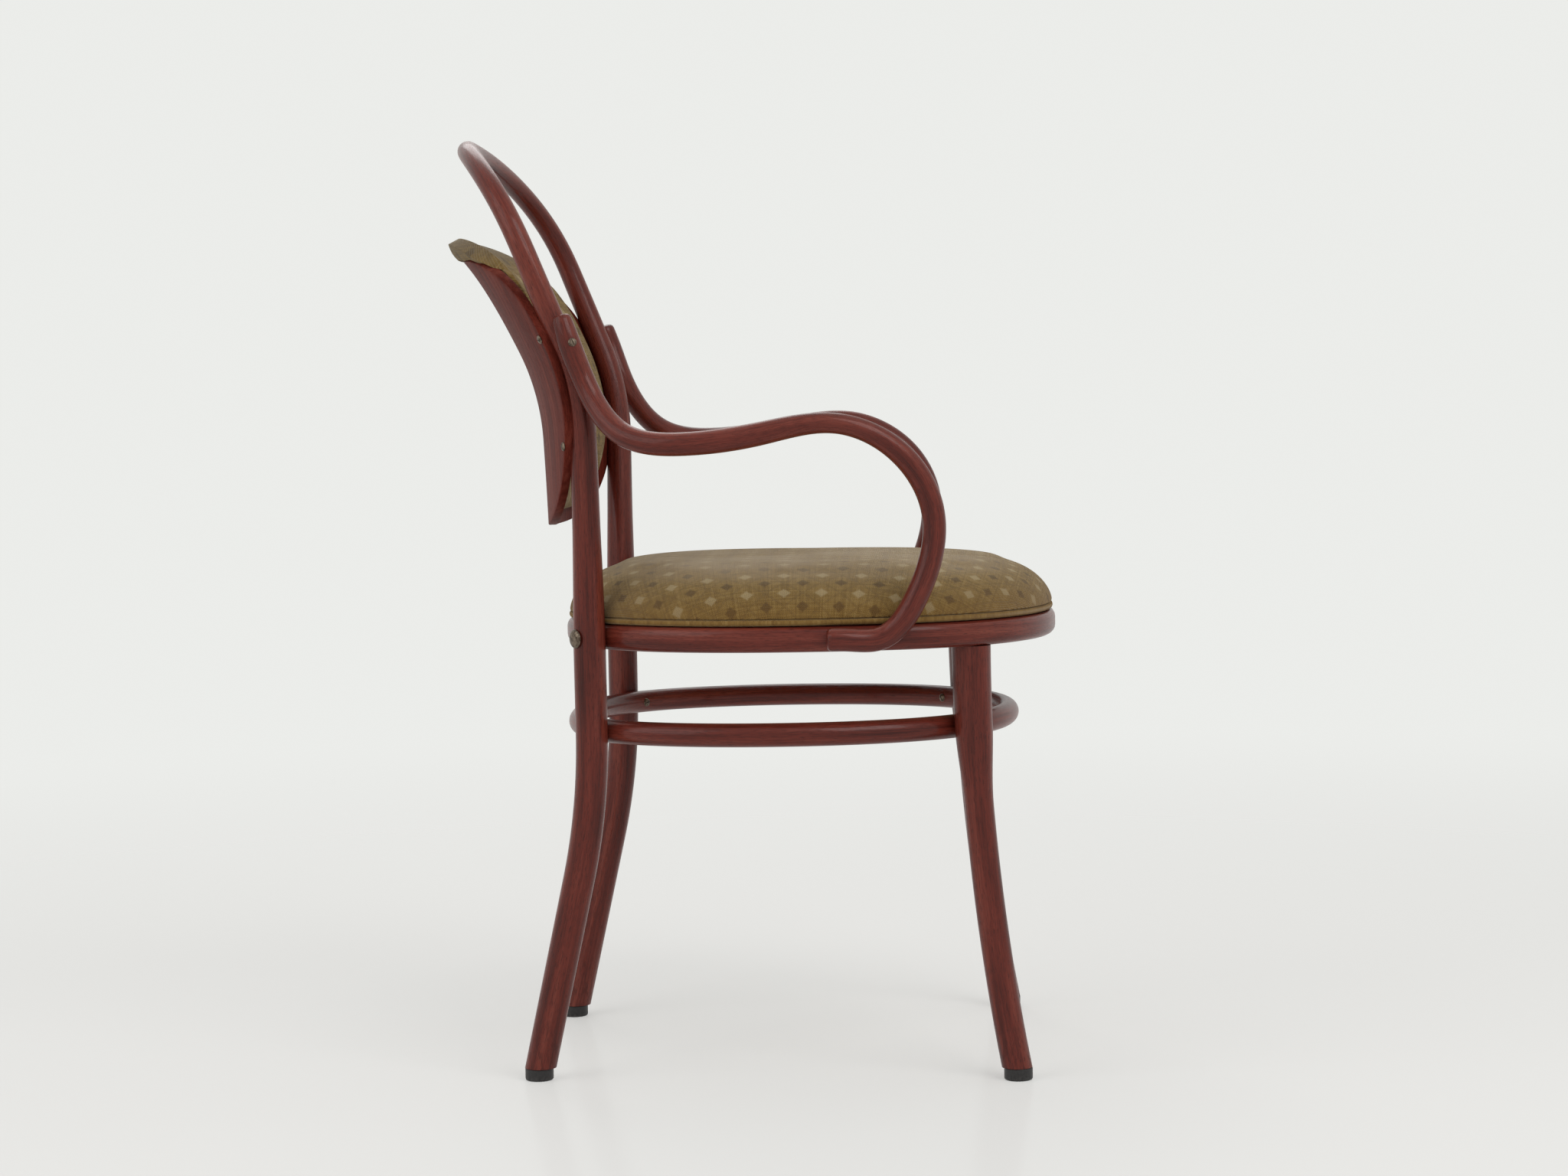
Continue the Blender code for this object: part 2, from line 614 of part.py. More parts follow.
def front_leg_radius(height):
    """A slim leg that swells to its top, in an eased curve between the two."""
    share = min(max((height - SWELL_BOTTOM) / (SWELL_TOP - SWELL_BOTTOM), 0.0), 1.0)
    eased = share * share * (3 - 2 * share)
    slim = np.interp(height, (0.0, SWELL_BOTTOM), (FRONT_FOOT_RADIUS, FRONT_LEG_RADIUS))
    swelling = (FRONT_LEG_SWELL_RADIUS, FRONT_LEG_TOP_RADIUS)
    thick = np.interp(height, (SWELL_BOTTOM, RIM_BOTTOM), swelling)
    return float(slim + (thick - slim) * eased)


def front_leg_heights():
    return np.linspace(-FOOT_EXCESS, RIM_BOTTOM - GAP, FRONT_LEG_STEPS)


def add_front_legs(rim, floor):
    """Two legs with a round tenon up into the rim, each on its glide."""
    legs = {}
    heights = front_leg_heights()
    for name, side in SIDES.items():
        points = [mirrored(front_leg_point(height), side) for height in heights]
        radii = [front_leg_radius(height) for height in heights]
        leg = add_part(f"front_leg_{name}", rod_mesh(f"front_leg_{name}", points, radii), BENTWOOD)
        boolean(leg, floor)
        shoulder = mirrored(front_leg_point(RIM_BOTTOM), side)
        tenon = bmesh.new()
        middle = shoulder + UP * (TENON_LENGTH - TENON_ROOT) / 2
        cylinder(tenon, TENON_RADIUS, TENON_LENGTH + TENON_ROOT, middle, ROD_SIDES)
        boolean(leg, add_cutter(f"tenon_{name}", close_mesh(tenon, f"tenon_{name}")), "UNION")
        hole = TENON_RADIUS + HOLE_CLEARANCE
        drill(f"mortise_{name}", shoulder, UP, hole, TENON_LENGTH + GAP, TENON_ROOT, [rim])
        add_glide(f"glide_front_{name}", mirrored(front_leg_point(GLIDE_HEIGHT / 2), side), leg)
        legs[name] = leg
    return legs


def add_stretcher(hoop, front_legs):
    """A closed ring through its front, sides and rear, and past the inside of each leg."""
    middle = Vector((0, STRETCHER_SETBACK, STRETCHER_HEIGHT))
    places = {}
    for where, leg, radius in (
        ("front", front_leg_point(STRETCHER_HEIGHT), front_leg_radius(STRETCHER_HEIGHT)),
        ("rear", post_point(STRETCHER_HEIGHT), post_radius(STRETCHER_HEIGHT)),
    ):
        outward = (leg - middle).normalized()
        places[where] = (leg - outward * (radius + STRETCHER_RADIUS - JOINT_NEST), outward)
    front = middle + Vector((0, -STRETCHER_HALF_DEPTH, 0))
    rear = middle + Vector((0, STRETCHER_HALF_DEPTH, 0))
    side = middle + Vector((STRETCHER_HALF_WIDTH, 0, 0))
    left = [places["front"][0], side, places["rear"][0]]
    knots = [front] + left + [rear] + [mirrored(point, -1) for point in reversed(left)]
    around = knots[-3:] + knots + knots[:4]
    path = smooth_path([tuple(knot) for knot in around], STRETCHER_STEPS + 1, 3, 3 + len(knots))[:-1]
    mesh = rod_mesh("stretcher_ring", path, [STRETCHER_RADIUS] * STRETCHER_STEPS, closed=True)
    ring = add_part("stretcher_ring", mesh, BENTWOOD)
    low = STRETCHER_HEIGHT - SEAT_REACH
    high = STRETCHER_HEIGHT + SEAT_REACH
    heights = [height for height in front_leg_heights() if low < height < high]
    for name, sign in SIDES.items():
        boolean(ring, post_clearance(f"ring_seat_rear_{name}", sign, low, high))
        points = [mirrored(front_leg_point(height), sign) for height in heights]
        radii = [clearance_radius(front_leg_radius(height)) for height in heights]
        seat = f"ring_seat_front_{name}"
        boolean(ring, add_cutter(seat, rod_mesh(seat, points, radii)))
        for where, leg in (("front", front_legs[name]), ("rear", hoop)):
            point, outward = places[where]
            head = mirrored(point - outward * (STRETCHER_RADIUS - SCREW_FLAT_DEPTH + GAP), sign)
            length = 2 * STRETCHER_RADIUS + SCREW_BITE
            screw = f"stretcher_screw_{where}_{name}"
            screw_part(screw, head, mirrored(outward, sign), length, [ring, leg], on_rod=True)


def beside_post(height, advance, radius):
    """A point outside the left post and forward of it, where a rod of a radius lies in its nest."""
    reach = post_radius(height) + radius - JOINT_NEST
    return post_point(height) + Vector((sqrt(reach**2 - advance**2), -advance, 0))


def arm_knots():
    """Points on the left arm's middle line, from the hoop to the rim, with its radius there."""
    top = beside_post(ARM_TOP_HEIGHT, ARM_TOP_ADVANCE, ARM_TOP_RADIUS)
    joint = beside_post(ARM_JOINT_HEIGHT, ARM_JOINT_ADVANCE, ARM_RADIUS)
    leave = beside_post(ARM_LEAVE_HEIGHT, ARM_LEAVE_ADVANCE, ARM_RADIUS)
    turn = Vector((ARM_TURN_HALF_SPREAD, -ARM_TURN_ADVANCE, ARM_TURN_HEIGHT))
    dip = Vector((ARM_BOW, -ARM_DIP_ADVANCE, ARM_DIP_HEIGHT))
    crest = Vector((ARM_BOW, -ARM_CREST_ADVANCE, ARM_CREST_HEIGHT))
    rise = (dip + crest) / 2
    knee = Vector(((ARM_BOW + 2 * ARM_FRONT_HALF_SPREAD) / 3, -ARM_KNEE_ADVANCE, ARM_KNEE_HEIGHT))
    front = Vector((ARM_FRONT_HALF_SPREAD, -ARM_FRONT_ADVANCE, ARM_FRONT_HEIGHT))
    sweep = Vector((ARM_FRONT_HALF_SPREAD, -ARM_SWEEP_ADVANCE, ARM_SWEEP_HEIGHT))
    feet = []
    for bearing in (*ARM_FOOT_BEARINGS, ARM_END_BEARING):
        feet.append(seat_point(bearing, 0.0, RIM_MIDDLE) + seat_normal(bearing) * (ARM_RADIUS - JOINT_NEST))
    knots = [(*top, ARM_TOP_RADIUS)]
    knots += [(*point, ARM_RADIUS) for point in (joint, leave, turn, dip, rise)]
    knots.append((*crest, ARM_CREST_RADIUS))
    return knots + [(*point, ARM_RADIUS) for point in (knee, front, sweep, *feet)]


def add_arms(hoop, rim):
    """Two bent arms, screwed to the outsides of the posts and, from inside the rim, to its sides."""
    rows = smooth_path(arm_knots(), ARM_STEPS)
    joint = beside_post(ARM_JOINT_HEIGHT, ARM_JOINT_ADVANCE, ARM_RADIUS)
    inward = (post_point(ARM_JOINT_HEIGHT) - joint).normalized()
    for name, side in SIDES.items():
        points = [mirrored(row[:3], side) for row in rows]
        arm = add_part(f"arm_{name}", rod_mesh(f"arm_{name}", points, rows[:, 3]), BENTWOOD)
        boolean(arm, post_clearance(f"arm_seat_{name}", side, POST_HEIGHT, ARM_TOP_HEIGHT + SEAT_REACH))
        seat = f"arm_rim_seat_{name}"
        boolean(arm, add_cutter(seat, on_seat(seat, rim_profile(GAP), closed=True)))
        head = mirrored(joint - inward * (ARM_RADIUS - SCREW_FLAT_DEPTH + GAP), side)
        length = 2 * ARM_RADIUS + SCREW_BITE
        screw_part(f"arm_top_screw_{name}", head, mirrored(inward, side), length, [arm, hoop], on_rod=True)
        for where, bearing in zip(("front", "rear"), ARM_FOOT_BEARINGS):
            outward = seat_normal(bearing)
            inner = seat_point(bearing, 0.0, RIM_MIDDLE) - outward * (rim_depth(bearing) + 2 * GAP)
            length = rim_depth(bearing) + SCREW_BITE
            screw = f"arm_foot_screw_{where}_{name}"
            screw_part(screw, mirrored(inner, side), mirrored(outward, side), length, [rim, arm])


def panel_front(x, height):
    """Y of the panel's front face: it lies against the backs of the posts and bends back between them."""
    half = post_half_spread(height)
    share = (height - PANEL_BOTTOM) / (PANEL_TOP - PANEL_BOTTOM)
    radius = PANEL_LOW_RADIUS + (PANEL_TOP_RADIUS - PANEL_LOW_RADIUS) * max(share, 0.0) ** PANEL_FLARE_POWER
    slant = sqrt(1 + (half / radius) ** 2 + tan(lean_at(height)) ** 2)
    touch = (post_radius(height) - JOINT_NEST) * slant
    return post_setback(height) + touch + (half**2 - x**2) / (2 * radius)


def panel_normal(x, height):
    """The direction square to the panel's front face, towards the sitter."""
    here = panel_front(x, height)
    across = Vector((SLOPE_STEP, panel_front(x + SLOPE_STEP, height) - here, 0))
    up = Vector((0, panel_front(x, height + SLOPE_STEP) - here, SLOPE_STEP))
    return across.cross(up).normalized()


def panel_share(point):
    """How far out a point of the rounded square lies, from 0 in its middle to 1 at its edge."""
    return (abs(point.x) ** PANEL_SQUARENESS + abs(point.y) ** PANEL_SQUARENESS) ** (1 / PANEL_SQUARENESS)


def rounded_grid(grid):
    """A grid over a square of half side 1, drawn in to the panel's rounder outline."""
    bm = bmesh.new()
    bmesh.ops.create_grid(bm, x_segments=grid[0], y_segments=grid[1], size=1.0)
    for vertex in bm.verts:
        reach = max(abs(vertex.co.x), abs(vertex.co.y))
        if reach > 0:
            vertex.co *= reach / panel_share(vertex.co)
    return bm


def panel_mesh(name, grow=0.0):
    """The panel's front face as an open sheet, past its edge by grow."""
    bm = rounded_grid(PANEL_GRID)
    middle = (PANEL_BOTTOM + PANEL_TOP) / 2
    for vertex in bm.verts:
        height = middle + vertex.co.y * ((PANEL_TOP - PANEL_BOTTOM) / 2 + grow)
        x = vertex.co.x * (post_half_spread(height) + PANEL_OVERLAP + grow)
        vertex.co = (x, panel_front(x, height), height)
    mesh = bpy.data.meshes.new(name)
    bm.to_mesh(mesh)
    bm.free()
    return mesh


def thicken(sheet, behind, before):
    """Make a sheet solid, from a depth behind it to a depth before it."""
    modifier = sheet.modifiers.new("thickness", "SOLIDIFY")
    modifier.thickness = behind + before
    modifier.offset = 2 * before / modifier.thickness - 1
    modifier.use_even_offset = True


def pad_mesh(name):
    """The pad: a crowned front, and a back inside the panel, which then cuts its own room out of the pad."""
    bm = rounded_grid(PAD_GRID)
    front = list(bm.verts)
    back = bmesh.ops.duplicate(bm, geom=bm.verts[:] + bm.edges[:] + bm.faces[:])
    twins = back["vert_map"]
    middle = (PAD_BOTTOM + PAD_TOP) / 2
    for vertex in front:
        share = panel_share(vertex.co)
        height = middle + vertex.co.y * (PAD_TOP - PAD_BOTTOM) / 2
        half = post_half_spread(height) - post_radius(height) - PAD_SIDE_GAP
        x = vertex.co.x * half
        rise = PAD_EDGE_THICKNESS + PAD_CROWN * sqrt(max(0.0, 1 - share**PAD_CROWN_POWER))
        seat = panel_front(x, height)
        vertex.co = (x, seat - rise, height)
        twins[vertex].co = (x, seat + PAD_BACK_DEPTH, height)
    rims = [edge for edge in bm.edges if edge.is_boundary]
    bmesh.ops.bridge_loops(bm, edges=rims)
    return close_mesh(bm, name)


def add_back(hoop):
    """The moulded panel, screwed to the backs of the posts, and the pad on it."""
    panel = add_part("back_panel", panel_mesh("back_panel"), PLYWOOD)
    thicken(panel, PANEL_THICKNESS, 0.0)
    pad = add_part("back_pad", pad_mesh("back_pad"), FABRIC)
    room = add_cutter("pad_room", panel_mesh("pad_room", GAP))
    thicken(room, PANEL_THICKNESS + GAP, GAP)
    boolean(pad, room)
    middle = (PANEL_BOTTOM + PANEL_TOP) / 2
    for name, side in SIDES.items():
        low = PANEL_BOTTOM - SEAT_REACH
        high = PANEL_TOP + SEAT_REACH
        boolean(panel, post_clearance(f"panel_seat_{name}", side, low, high))
        for where, rise in (("low", -PANEL_SCREW_RISE), ("high", PANEL_SCREW_RISE)):
            post = post_point(middle + rise)
            forward = panel_normal(post.x, post.z)
            back = post_radius(post.z) - JOINT_NEST + PANEL_THICKNESS + GAP
            head = mirrored(post - forward * back, side)
            length = PANEL_THICKNESS + SCREW_BITE
            screw_part(f"panel_screw_{where}_{name}", head, mirrored(forward, side), length, [panel, hoop])


def centre_chair():
    """Move the chair so that the middle of its box stands over the origin."""
    bpy.context.view_layer.update()
    graph = bpy.context.evaluated_depsgraph_get()
    reach = []
    for part in PARTS.objects:
        if part.type == "MESH":
            evaluated = part.evaluated_get(graph)
            reach += [(evaluated.matrix_world @ vertex.co).y for vertex in evaluated.data.vertices]
    CHAIR.location.y = -(min(reach) + max(reach)) / 2


def main():
    floor = floor_cutter()
    rim, welt = add_seat()
    hoop = add_hoop(rim, welt, floor)
    front_legs = add_front_legs(rim, floor)
    add_stretcher(hoop, front_legs)
    add_arms(hoop, rim)
    add_back(hoop)
    centre_chair()


main()
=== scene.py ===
# %% [markdown]
# # A bentwood armchair
# The chair is made of round beech rods that were steamed, bent round iron forms, stained red-brown and
# lacquered. Its seat and its curved back are upholstered in an olive cloth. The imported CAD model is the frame
# of this lesson: it gives every piece its place and size. Each step below takes one piece or one finish, and
# says what it is on the real chair and how it can be made in Blender.

from math import asin, cos, pi, radians, sin, sqrt, tan

import bpy
import numpy as np
from mathutils import Matrix, Vector


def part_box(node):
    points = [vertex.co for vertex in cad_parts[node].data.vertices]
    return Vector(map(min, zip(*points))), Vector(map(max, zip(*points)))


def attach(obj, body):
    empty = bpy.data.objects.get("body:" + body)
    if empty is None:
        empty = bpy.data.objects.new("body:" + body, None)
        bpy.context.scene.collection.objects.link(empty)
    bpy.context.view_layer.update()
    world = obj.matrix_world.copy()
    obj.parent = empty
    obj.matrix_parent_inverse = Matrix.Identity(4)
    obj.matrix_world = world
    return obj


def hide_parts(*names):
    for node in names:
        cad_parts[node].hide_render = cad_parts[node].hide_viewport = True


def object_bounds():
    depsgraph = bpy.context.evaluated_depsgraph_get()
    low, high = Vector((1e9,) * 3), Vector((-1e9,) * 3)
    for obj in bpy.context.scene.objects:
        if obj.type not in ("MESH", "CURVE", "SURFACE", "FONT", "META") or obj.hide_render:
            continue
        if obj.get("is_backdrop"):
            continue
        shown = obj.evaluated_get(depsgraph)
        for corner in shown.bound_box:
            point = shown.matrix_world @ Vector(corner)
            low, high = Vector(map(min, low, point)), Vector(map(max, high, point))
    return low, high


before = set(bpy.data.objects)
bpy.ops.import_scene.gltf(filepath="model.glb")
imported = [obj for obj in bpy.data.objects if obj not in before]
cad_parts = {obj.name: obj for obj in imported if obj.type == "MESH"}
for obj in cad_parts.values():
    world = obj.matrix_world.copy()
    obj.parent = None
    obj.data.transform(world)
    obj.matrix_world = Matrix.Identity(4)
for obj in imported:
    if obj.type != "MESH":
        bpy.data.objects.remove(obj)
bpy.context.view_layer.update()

# %% [markdown]
# The seat is the middle of everything, so its sizes are read from the CAD rim. All places below are in
# metres, with +Z up. The chair faces -Y, and X = 0 is its plane of symmetry.

# %% Measure the seat
rim_low, rim_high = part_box("seat_rim")
SEAT_HALF_WIDTH = rim_high.x
SEAT_HALF_DEPTH = (rim_high.y - rim_low.y) / 2
SEAT_Y = (rim_high.y + rim_low.y) / 2
RIM_BOTTOM = rim_low.z
RIM_TOP = rim_high.z
RIM_MIDDLE = (RIM_BOTTOM + RIM_TOP) / 2
print("seat", SEAT_HALF_WIDTH, "by", SEAT_HALF_DEPTH, "round y", SEAT_Y)

# %% [markdown]
# ## Camera
# The photograph was taken from the chair's right side with a long lens, a little above the arms. A camera
# could be aimed by eye, but these numbers come from matching the feet, the ring and the hoop with their
# places in the image, so the render can be laid over the photograph. It starts level, looking along +X, and
# is then turned a little three times.

# %% Camera
YAW = -0.0412
PITCH = 0.0566
ROLL = -0.0195
CAMERA_PLACE = (-3.0876, SEAT_Y - 0.1017, 0.6083)
LENS = 75.375
SENSOR_WIDTH = 36


def deselect():
    bpy.ops.object.select_all(action="DESELECT")


def added(name):
    """The object that an operator has just added, under its own name."""
    piece = bpy.context.object
    piece.name = name
    return piece


right = Vector((0, -1, 0))
up = Vector((0, 0, 1))
ahead = Vector((1, 0, 0))
right, ahead = right * cos(YAW) - ahead * sin(YAW), ahead * cos(YAW) + right * sin(YAW)
up, ahead = up * cos(PITCH) + ahead * sin(PITCH), ahead * cos(PITCH) - up * sin(PITCH)
right, up = right * cos(ROLL) + up * sin(ROLL), up * cos(ROLL) - right * sin(ROLL)

deselect()
bpy.ops.object.camera_add()
camera = added("photo_camera")
camera.matrix_world = Matrix((right, up, -ahead)).transposed().to_4x4()
camera.location = CAMERA_PLACE
camera.data.sensor_width = SENSOR_WIDTH
camera.data.lens = LENS
bpy.context.scene.camera = camera
print("camera looks along", tuple(round(x, 3) for x in ahead))

# %% [markdown]
# ## Shader arithmetic
# A procedural finish is a small sum over textures. Dragging Math nodes together is slow to read, so one class
# wraps a socket and lets Python's own operators add those nodes. Every other node comes from its `node`
# method, which takes the node's type, then its settings, then the values or wires of its sockets.


# %% Wire
class Wire:
    """An output socket of a shader node that takes part in sums."""

    def __init__(self, socket):
        self.socket = socket
        self.tree = socket.id_data

    def node(self, kind, settings=None, values=None, output=0):
        made = self.tree.nodes.new(kind)
        for name, setting in (settings or {}).items():
            if name == "stops":
                ramp = made.color_ramp.elements
                for _ in setting[2:]:
                    ramp.new(1.0)
                for stop, (place, colour) in zip(ramp, setting):
                    stop.position = place
                    stop.color = (*colour, 1.0)
            else:
                setattr(made, name, setting)
        for name, value in (values or {}).items():
            if isinstance(value, Wire):
                self.tree.links.new(value.socket, made.inputs[name])
            else:
                made.inputs[name].default_value = value
        return Wire(made.outputs[output])

    def math(self, operation, other=0.0):
        return self.node("ShaderNodeMath", {"operation": operation}, {0: self, 1: other})

    def __add__(self, other):
        return self.math("ADD", other)

    def __sub__(self, other):
        return self.math("SUBTRACT", other)

    def __rsub__(self, other):
        return self.node("ShaderNodeMath", {"operation": "SUBTRACT"}, {0: other, 1: self})

    def __mul__(self, other):
        return self.math("MULTIPLY", other)

    def __truediv__(self, other):
        return self.math("DIVIDE", other)

    def __abs__(self):
        return self.math("ABSOLUTE")

    __radd__ = __add__
    __rmul__ = __mul__

    def rise(self, low, high):
        """0 below low and 1 above high, eased between them."""
        settings = {"interpolation_type": "SMOOTHSTEP"}
        return self.node("ShaderNodeMapRange", settings, {0: self, 1: low, 2: high})

    def along(self, axis):
        return self.node("ShaderNodeSeparateXYZ", {}, {0: self}, axis)

    def stretched(self, x, y, z):
        return self.node("ShaderNodeVectorMath", {"operation": "MULTIPLY"}, {0: self, 1: (x, y, z)})

    def noise(self, scale, detail=2.0, roughness=0.5):
        values = {"Vector": self, "Scale": scale, "Detail": detail, "Roughness": roughness}
        return self.node("ShaderNodeTexNoise", {}, values)

    def ramp(self, *stops):
        return self.node("ShaderNodeValToRGB", {"stops": stops}, {0: self})

    def blend(self, under, colour):
        """Lays a plain colour over a wire's colours, as strongly as this wire says."""
        return self.node("ShaderNodeMix", {"data_type": "RGBA"}, {0: self, 6: under, 7: (*colour, 1.0)}, 2)


def start_finish(name, attribute=None):
    """A new material, and the wire of the coordinates that its pattern reads."""
    material = bpy.data.materials.new(name)
    material.use_nodes = True
    nodes = material.node_tree.nodes
    if attribute is None:
        return material, Wire(nodes.new("ShaderNodeTexCoord").outputs["Object"])
    source = nodes.new("ShaderNodeAttribute")
    source.attribute_name = attribute
    return material, Wire(source.outputs["Vector"])


def complete(material, colour, roughness, height, depth, constants):
    """Wires a finish into its shader. depth is how far the bump stands, constants are the same all over."""
    shader = material.node_tree.nodes["Principled BSDF"]
    bump = height.node("ShaderNodeBump", {}, {"Height": height, "Distance": depth})
    for socket, wire in (("Base Color", colour), ("Roughness", roughness), ("Normal", bump)):
        material.node_tree.links.new(wire.socket, shader.inputs[socket])
    for socket, value in constants.items():
        shader.inputs[socket].default_value = value
    print("finish", material.name, "has", len(material.node_tree.nodes), "nodes")


# %% [markdown]
# ## Stained beech
# Beech is a pale, close-grained wood. The stain goes deeper into its soft bands and its pores, so it shows
# fine darker lines along the rod, with short dashes where a pore was cut. The grain has to follow every bend,
# so the finish doesn't read places in the room: it reads where each point was in the straight rod, which the
# bending step below keeps as an attribute called `grain`. The lacquer is a clear coat. Hands have rubbed it
# paler on the arms and on top of the hoop, and shoes have dulled it near the floor.

# %% Finish: stained beech
RED = ((0.044, 0.0064, 0.0040), (0.120, 0.0185, 0.0110), (0.195, 0.0430, 0.0270))
ARM_REST = (0.572, 0.590)
ARM_SIDE = (0.215, 0.235)
HOOP_CREST = (0.842, 0.858)
SCUFFED_FOOT = (0.02, 0.09)


def stained_wood(name, coat, gloss, dullness):
    material, grain = start_finish(name, "grain")
    bands = grain.stretched(1, 1, 0.045).noise(130, 3.0, 0.55)
    fibres = grain.stretched(1, 1, 0.02).noise(1000, 2.0, 0.6)
    pores = grain.stretched(1, 1, 0.06).noise(2400, 0.0).rise(0.60, 0.70)
    cloud = grain.stretched(1, 1, 0.3).noise(22, 2.0)

    place = grain.node("ShaderNodeTexCoord", output="Object")
    height = place.along("Z")
    side = abs(place.along("X"))
    handled = height.rise(*ARM_REST) * side.rise(*ARM_SIDE) + 0.35 * height.rise(*HOOP_CREST)
    rubbed = handled * place.noise(38, 3.0, 0.6).rise(0.38, 0.62)
    streaks = place.stretched(1, 1, 0.25).noise(260, 2.0)
    scuffed = (1 - height.rise(*SCUFFED_FOOT)) * streaks.rise(0.48, 0.62)

    dark, _, pale = RED
    stain = (bands * 0.55 + fibres * 0.25 + cloud * 0.20).ramp(*zip((0.34, 0.50, 0.66), RED))
    stain = (pores * 0.55).blend(stain, dark)
    stain = (rubbed * 0.30).blend(stain, pale)
    stain = (scuffed * 0.45).blend(stain, dark)
    roughness = dullness + 0.16 * (fibres - 0.5) + 0.10 * rubbed + 0.20 * scuffed
    relief = fibres * 0.35 - pores * 0.5 + cloud * 0.6
    constants = {"Coat Weight": coat, "Coat Roughness": 0.12, "Specular IOR Level": gloss}
    complete(material, stain, roughness, relief, 0.00025, constants)
    return material


VENEER = stained_wood("stained_veneer", coat=0.0, gloss=0.04, dullness=0.50)
BEECH = stained_wood("stained_beech", coat=0.22, gloss=0.15, dullness=0.34)

# %% [markdown]
# ## Bending
# A bentwood rod starts as a straight turned dowel. It is steamed until it gives, and clamped round a form to
# dry. The same two steps work here. A cylinder is cut into rings along its length, and a Curve modifier then
# bends it round a guide. Sweeping a circle along a curve would give the same outside, but the straight stock
# also gives the grain: each corner of each face keeps its place in the dowel, and that attribute goes through
# the bend unchanged. The guide's own radius gives the swelling and the taper.

# %% Straight stock
DOWEL_SIDES = 32
SANDED = 0.99
LENGTHWISE = 1.2
TOUCH = 1e-5


def only(piece):
    """Select one piece alone and make it the active one."""
    deselect()
    piece.select_set(True)
    bpy.context.view_layer.objects.active = piece


def edit_mode():
    bpy.ops.object.mode_set(mode="EDIT")


def object_mode():
    bpy.ops.object.mode_set(mode="OBJECT")


def start_picking(piece, edges=False, faces=False):
    """Select a piece, but nothing of its mesh yet."""
    only(piece)
    bpy.context.tool_settings.mesh_select_mode = (False, edges, faces)
    for group in (piece.data.vertices, piece.data.edges, piece.data.polygons):
        group.foreach_set("select", [False] * len(group))


def pick_edges(piece, wanted):
    """Go into edit mode with just the edges selected whose two ends pass a test."""
    start_picking(piece, edges=True)
    points = piece.data.vertices
    for edge in piece.data.edges:
        edge.select = wanted(*(points[index].co for index in edge.vertices))
    edit_mode()


def lengthwise(one, other):
    return abs(one.z - other.z) > LENGTHWISE * (one.xy - other.xy).length


def level(one, other):
    return abs(one.z - other.z) < TOUCH


def cut_into_rings(piece, cuts):
    """Cut the long edges of straight stock, which lies along Z, twice over."""
    for _ in range(2):
        pick_edges(piece, lengthwise)
        bpy.ops.mesh.subdivide(number_cuts=cuts)
        object_mode()


def keep_grain(piece, offset=(0.0, 0.0, 0.0), places=None):
    """Keep each corner's place in the straight stock. Each piece comes from another part of the tree."""
    mesh = piece.data
    if places is None:
        places = [vertex.co for vertex in mesh.vertices]
    corners = np.empty(len(mesh.loops), np.int32)
    mesh.loops.foreach_get("vertex_index", corners)
    grain = np.array(places, np.float32)[corners] + np.array(offset, np.float32)
    mesh.attributes.new("grain", "FLOAT_VECTOR", "CORNER").data.foreach_set("vector", grain.ravel())


def straight_dowel(name, length, radius, tree_place, ends="NGON", rounded=0.0, cuts=12, sides=DOWEL_SIDES):
    deselect()
    middle = (0, 0, length / 2)
    bpy.ops.mesh.primitive_cylinder_add(
        vertices=sides, radius=radius * SANDED, depth=length, end_fill_type=ends, location=middle
    )
    dowel = added(name)
    bpy.ops.object.transform_apply(location=True)
    if rounded:
        pick_edges(dowel, level)
        bpy.ops.mesh.bevel(offset=rounded, segments=3)
        object_mode()
    cut_into_rings(dowel, cuts)
    keep_grain(dowel, tree_place)
    return dowel


# %% Bend round a form
SEAM_REACH = 0.0006
SMOOTH_ANGLE = radians(42)


def path_length(path, closed=False):
    points = np.array(path, float)
    if closed:
        points = np.vstack([points, points[:1]])
    return float(np.linalg.norm(np.diff(points, axis=0), axis=1).sum())


def apply_modifier(piece, name, kind, **settings):
    """Add a modifier, set it and apply it to the mesh."""
    only(piece)
    modifier = piece.modifiers.new(name, kind)
    for setting, value in settings.items():
        setattr(modifier, setting, value)
    bpy.ops.object.modifier_apply(modifier=modifier.name)


def edit_whole(piece):
    """Go into edit mode with the whole mesh selected."""
    only(piece)
    bpy.context.tool_settings.mesh_select_mode = (True, False, False)
    edit_mode()
    bpy.ops.mesh.select_all(action="SELECT")


def close_seams(reach):
    """In edit mode, weld the points that lie together and turn all faces outwards, and leave edit mode."""
    bpy.ops.mesh.select_all(action="SELECT")
    bpy.ops.mesh.remove_doubles(threshold=reach)
    bpy.ops.mesh.normals_make_consistent(inside=False)
    object_mode()


def bend_round(stock, path, swell=None, closed=False):
    """Bend straight stock round a path. swell scales it at each point of the path."""
    form = bpy.data.curves.new("bending_form", "CURVE")
    form.dimensions = "3D"
    form.twist_mode = "Z_UP" if closed else "MINIMUM"
    form.use_radius = True
    line = form.splines.new("POLY")
    line.points.add(len(path) - 1)
    line.use_cyclic_u = closed
    for knot, point, scale in zip(line.points, path, swell or [1.0] * len(path)):
        knot.co = (*point, 1.0)
        knot.radius = scale
    guide = bpy.data.objects.new("bending_form", form)
    bpy.context.scene.collection.objects.link(guide)
    apply_modifier(stock, "steam_bend", "CURVE", object=guide, deform_axis="POS_Z")
    bpy.data.objects.remove(guide)
    if closed:
        edit_whole(stock)
        close_seams(SEAM_REACH)


def cut_level(height):
    """In edit mode, saw off all that is below a height and close the cut, and leave edit mode."""
    bpy.ops.mesh.bisect(plane_co=(0, 0, height), plane_no=(0, 0, 1), use_fill=True, clear_inner=True)
    object_mode()


